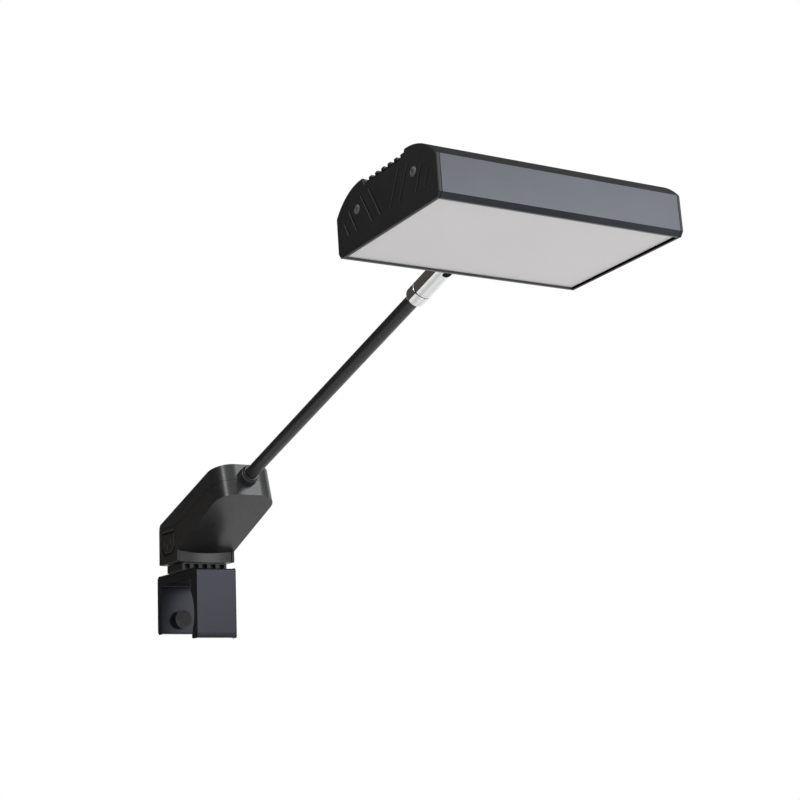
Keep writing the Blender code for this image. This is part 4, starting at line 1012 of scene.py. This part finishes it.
def inside_front():
    """Front half of the inside, from the lip over the wall's arc to the web."""
    wall, web, step = HALF_DEPTH - SKIN, WEB_TOP - 2.2 * MM, FIN_ZONE + 2.2 * MM
    lip = [(LIP_INNER, LIP_THICKNESS), (wall, LIP_THICKNESS)]
    return joined(lip, shoulder(SHOULDER_R - SKIN, wall, step, 20), [(step, web)])


def make_head_body():
    """Extrusion of the head: outside, fins and inside in one outline."""
    rear = rear_outside()
    inner = inside_front()
    outline = joined(rear, fins(), mirrored(rear), inner * (-1, 1), inner[::-1])
    half, edge = HEAD_LENGTH / 2 - CAP - 0.1 * MM, 0.15 * MM
    steps = [(edge, -half), (0, edge - half), (0, half - edge), (edge, half)]
    body = mesh_object("head_extrusion", loft(supported(outline), steps, "X", HEAD))
    finish(body, "head", "anodised_aluminium", ANODISED, "head_body", angle=28)


def cap_outline():
    """The extrusion's outside with the fins' place left as a flat notch."""
    rear = rear_outside()[2:]
    notch = [(FIN_ZONE - 0.3 * MM, HEAD_TOP), (FIN_ZONE - 2.5 * MM, CAP_NOTCH)]
    return joined(rear, notch, mirrored(notch), mirrored(rear))


def vent(low_y, high_y, high_z, side):
    """Slanting slot of a cap, from the slots' common lower line up to its own height."""
    across = CAP_SLOT_WIDTH / 2
    corners = [(low_y - across, CAP_SLOT_BOTTOM), (low_y + across, CAP_SLOT_BOTTOM)]
    corners += [(high_y + across, high_z), (high_y - across, high_z)]
    outline = rounded(corners, 0.3 * MM, 3) * (side, 1)
    return outline if side > 0 else outline[::-1]


def cross(radius, half, turn):
    """Plus sign of bars with this half width, turned in its plane."""
    corners = []
    for k in range(4):
        c, s = math.cos(k * math.pi / 2 + turn), math.sin(k * math.pi / 2 + turn)
        arm = ((half, -half), (radius, -half), (radius, half))
        corners += [(c * u - s * v, s * u + c * v) for u, v in arm]
    return np.array(corners)


def make_cap(side, name):
    """Powder-coated end plate with eight flared vents and two countersinks."""
    face, inner = HEAD_LENGTH / 2, HEAD_LENGTH / 2 - CAP
    steps = rim(side * inner, side * face, 0.55 * MM)
    cap = mesh_object(f"cap_{name}", loft(supported(cap_outline()), steps, "X", HEAD))
    flare = [(0, side * (inner - MM)), (0, side * (face - 0.35 * MM))]
    flare += [(-0.3 * MM, side * (face + 0.01 * MM)), (-0.35 * MM, side * (face + MM))]
    tools = []
    for low_y, high_y, high_z in CAP_SLOTS:
        for y in (-1, 1):
            tools.append(loft(vent(low_y * MM, high_y * MM, high_z * MM, y), flare, "X", HEAD))
    profile = [(0, inner - MM), (1.8 * MM, inner - MM), (1.8 * MM, face - 1.5 * MM)]
    profile += [(3.3 * MM, face), (3.5 * MM, face + 0.3 * MM), (0, face + 0.3 * MM)]
    profile = [(r, side * h) for r, h in profile]
    for y in (-1, 1):
        tools.append(lathe(profile, 64, "X", (0, y * CAP_SCREW[0], CAP_SCREW[1]), HEAD))
    finish(cut(cap, *tools), "head", "powder_coat", POWDER, f"end_cap_{name}")
    make_cap_screws(side, name, face, inner)


def make_cap_screws(side, name, face, inner):
    """Countersunk screws with domed heads and cross recesses."""
    corners = [(0, inner - 4 * MM), (1.5 * MM, inner - 4 * MM), (1.5 * MM, face - 1.35 * MM)]
    corners.append((3.05 * MM, face - 0.1 * MM))
    dome = arc((0, face - 6.9 * MM), 7.4 * MM, 66, 90, 8)
    profile = [(r, side * h) for r, h in joined(corners, dome)]
    for y, place in ((-1, "front"), (1, "rear")):
        centre = (0, y * CAP_SCREW[0], CAP_SCREW[1])
        screw = mesh_object(f"cap_screw_piece_{name}_{place}", lathe(profile, 64, "X", centre, HEAD))
        recess = cross(1.55 * MM, 0.36 * MM, 0.5 + y) + np.array(centre[1:])
        steps = span(side * (face - 0.9 * MM), side * (face + 2 * MM))
        cut(screw, loft(recess, steps, "X", HEAD))
        finish(screw, "head", "blackened_steel", CAP_STEEL, f"cap_screw_{name}_{place}")


def make_diffuser():
    """Opal sheet that lies on the extrusion's lips."""
    half = HEAD_LENGTH / 2 - CAP - 0.2 * MM
    depth = HALF_DEPTH - SKIN - GAP
    low = LIP_THICKNESS + 0.1 * MM
    outline = supported(rectangle(half, depth, 0.5 * MM))
    sheet = mesh_object("opal_diffuser", loft(outline, rim(low, low + 3 * MM, 0.25 * MM), "Z", HEAD))
    finish(sheet, "head", "opal_acrylic", OPAL, "diffuser")


def make_tongue():
    """Flange with rounded corners, and the lug that stands in the fork's slot."""
    y, z = PIVOT_IN_HEAD
    flange = rectangle(12 * MM, 8.5 * MM, 3 * MM, (0, z))
    tongue = mesh_object("tongue", loft(flange, span(FLANGE_FACE, FLANGE_SEAT), "Y", HEAD))
    radius, root = 5.2 * MM, FLANGE_FACE + MM
    lug = joined([(root, z - radius)], arc((y, z), radius, -90, 90, 40), [(root, z + radius)])
    cut(tongue, loft(lug, span(-3 * MM, 3 * MM), "X", HEAD), operation="UNION")
    hole = lathe(box(0, PIVOT_HOLE_R, -5 * MM, 5 * MM), 48, "X", (0, y, z), HEAD)
    soften(cut(tongue, hole), 0.3 * MM)
    finish(tongue, "head", "powder_coat", POWDER, "head_tongue")


def make_tongue_screws():
    """Pan-head screws that hold the flange to the head's rear face."""
    z, seat = PIVOT_IN_HEAD[1], FLANGE_SEAT
    corners = stepped((1.4 * MM, 2.5 * MM), (FLANGE_FACE, seat, seat + 1.6 * MM))
    profile = supported(rounded(corners, [0, 0, 0, 0.2 * MM, 0.9 * MM, 0]), 0.1 * MM, 0.8 * MM)
    for x, name in ((-9 * MM, "left"), (9 * MM, "right")):
        screw = mesh_object(f"tongue_screw_piece_{name}", lathe(profile, 48, "Y", (x, 0, z), HEAD))
        recess = loft(star(1.2 * MM, (x, z)), span(seat + 0.7 * MM, seat + 3 * MM), "Y", HEAD)
        finish(cut(screw, recess), "head", "plated_steel", STEEL, f"tongue_screw_{name}")


# ---- the CAD nodes that stay ---------------------------------------------------------------------


def paint_inner_nodes():
    """Gives the CAD nodes inside the housing and the head their finishes."""
    led, circuit, can = led_mask(), circuit_mask(), sleeve()
    kept = {
        "arm_nut": STEEL, "arm_lead": can, "driver_board": circuit, "driver_transformer": MOULDING,
        "driver_capacitor": can, "led_board": led, "outlet_contact_line": BRASS,
        "outlet_contact_neutral": BRASS, "outlet_contact_earth": BRASS,
    }
    for node, material in kept.items():
        mesh = frame["nodes"][node].data
        mesh.materials.clear()
        mesh.materials.append(material)


# ---- studio --------------------------------------------------------------------------------------

CAMERA_AT = Vector((-0.58596, -1.26831, -0.11457))
CAMERA_YAW, CAMERA_PITCH, CAMERA_ROLL = 0.5577, 0.2067, -0.0399
CAMERA_LENS, SENSOR = 74.91, 36
FLOOR_Z = -0.8
FLOOR_R, FLOOR_THICKNESS = 9.0, 0.02
CARD_CORNER, CARD_THICKNESS = 0.01, 0.004


def make_camera():
    """Camera turned by yaw about Z, then pitched up, then rolled about its own axis."""
    c, s = math.cos(CAMERA_YAW), math.sin(CAMERA_YAW)
    forward = Vector((s * math.cos(CAMERA_PITCH), c * math.cos(CAMERA_PITCH), math.sin(CAMERA_PITCH)))
    right = Vector((c, -s, 0))
    up = right.cross(forward)
    turn = Matrix.Rotation(-CAMERA_ROLL, 3, forward)
    axes = Matrix((turn @ right, turn @ up, -forward)).transposed()
    camera = bpy.data.objects.new("camera", bpy.data.cameras.new("camera"))
    camera.data.lens = CAMERA_LENS
    camera.data.sensor_width = SENSOR
    camera.data.clip_end = 50
    camera.matrix_world = Matrix.Translation(CAMERA_AT) @ axes.to_4x4()
    bpy.context.scene.collection.objects.link(camera)
    bpy.context.scene.camera = camera


def facing(target, direction, distance):
    """Place of a light or card that looks at a target from this far along a direction."""
    direction = Vector(direction).normalized()
    turn = direction.to_track_quat("Z", "Y").to_matrix().to_4x4()
    return Matrix.Translation(Vector(target) + direction * distance) @ turn


def area_light(name, place, size, radiance, color=(1, 1, 1)):
    """Rectangular softbox; its power is radiance x pi x area."""
    light = bpy.data.lights.new(name, "AREA")
    light.shape = "RECTANGLE"
    light.size, light.size_y = size
    light.energy = radiance * math.pi * size[0] * size[1]
    light.color = color
    obj = bpy.data.objects.new(name, light)
    obj.matrix_world = place
    obj.visible_camera = False
    bpy.context.scene.collection.objects.link(obj)


def flag(name, place, size, blocks=True):
    """Dark card that shapes the reflections; cameras don't see it, and it casts no shadow."""
    outline = rectangle(size[0] / 2, size[1] / 2, CARD_CORNER)
    card = mesh_object(name, loft(outline, span(0, CARD_THICKNESS), "Z", np.array(place)))
    card.data.materials.append(CARD)
    card.visible_camera = False
    card.visible_diffuse = blocks
    card.visible_shadow = False


def make_floor():
    """Round white floor far below the lamp."""
    floor = mesh_object("floor", loft(circle(FLOOR_R, 96), span(FLOOR_Z - FLOOR_THICKNESS, FLOOR_Z)))
    floor.data.materials.append(studio_floor())


def make_studio():
    """White surroundings, three softboxes with a weak fill, and dark cards for the reflections."""
    world = bpy.data.worlds.new("studio")
    bpy.context.scene.world = world
    world.use_nodes = True
    background = world.node_tree.nodes["Background"]
    background.inputs["Color"].default_value = (1, 1, 1, 1)
    background.inputs["Strength"].default_value = 1.0
    head = placed(np.zeros(3), HEAD)
    clamp = (0, -0.05, 0.05)
    front, upper = (0.49, -0.86, 0.13), (0.45, -0.62, 0.63)
    corner, under = (-0.64, -0.53, 0.52), (0.1, -0.1, -1)
    area_light("front_softbox", facing(head, front, 0.75), (0.55, 0.5), 2.4, (0.95, 0.97, 1.0))
    area_light("upper_strip", facing(clamp, upper, 1.0), (0.26, 0.2), 9.0, (0.94, 0.96, 1.0))
    area_light("corner_strip", facing(clamp, corner, 0.9), (0.07, 0.5), 16.0)
    area_light("under_fill", facing(head, under, 0.5), (0.8, 0.8), 0.12)
    flag("left_flag", facing(head, (-0.52, 0.83, 0.2), 1.1), (1.5, 1.5))
    flag("side_flag", facing(head, (-1, 0.1, 0.0), 1.1), (1.5, 1.5))
    flag("top_flag", facing(head, (0.3, 0.4, 0.86), 0.9), (1.6, 1.6))
    flag("low_flag", facing(head, (0.5, -0.42, -0.74), 0.45), (0.5, 0.4), blocks=False)
    settings = bpy.context.scene.view_settings
    settings.view_transform = "Standard"
    settings.look = "None"


# ---- assembly ------------------------------------------------------------------------------------

make_camera()
make_floor()
make_studio()
make_clip()
make_liner()
make_clip_screws()
make_pad()
make_clamp_screw()
make_knob()
make_shoe()
make_shells()
make_shell_screws()
make_outlet()
make_inlet()
make_arm()
make_bushing()
make_collar()
make_fork()
make_pivot()
make_head_body()
make_cap(-1, "left")
make_cap(1, "right")
make_diffuser()
make_tongue()
make_tongue_screws()
paint_inner_nodes()

bpy.context.view_layer.update()
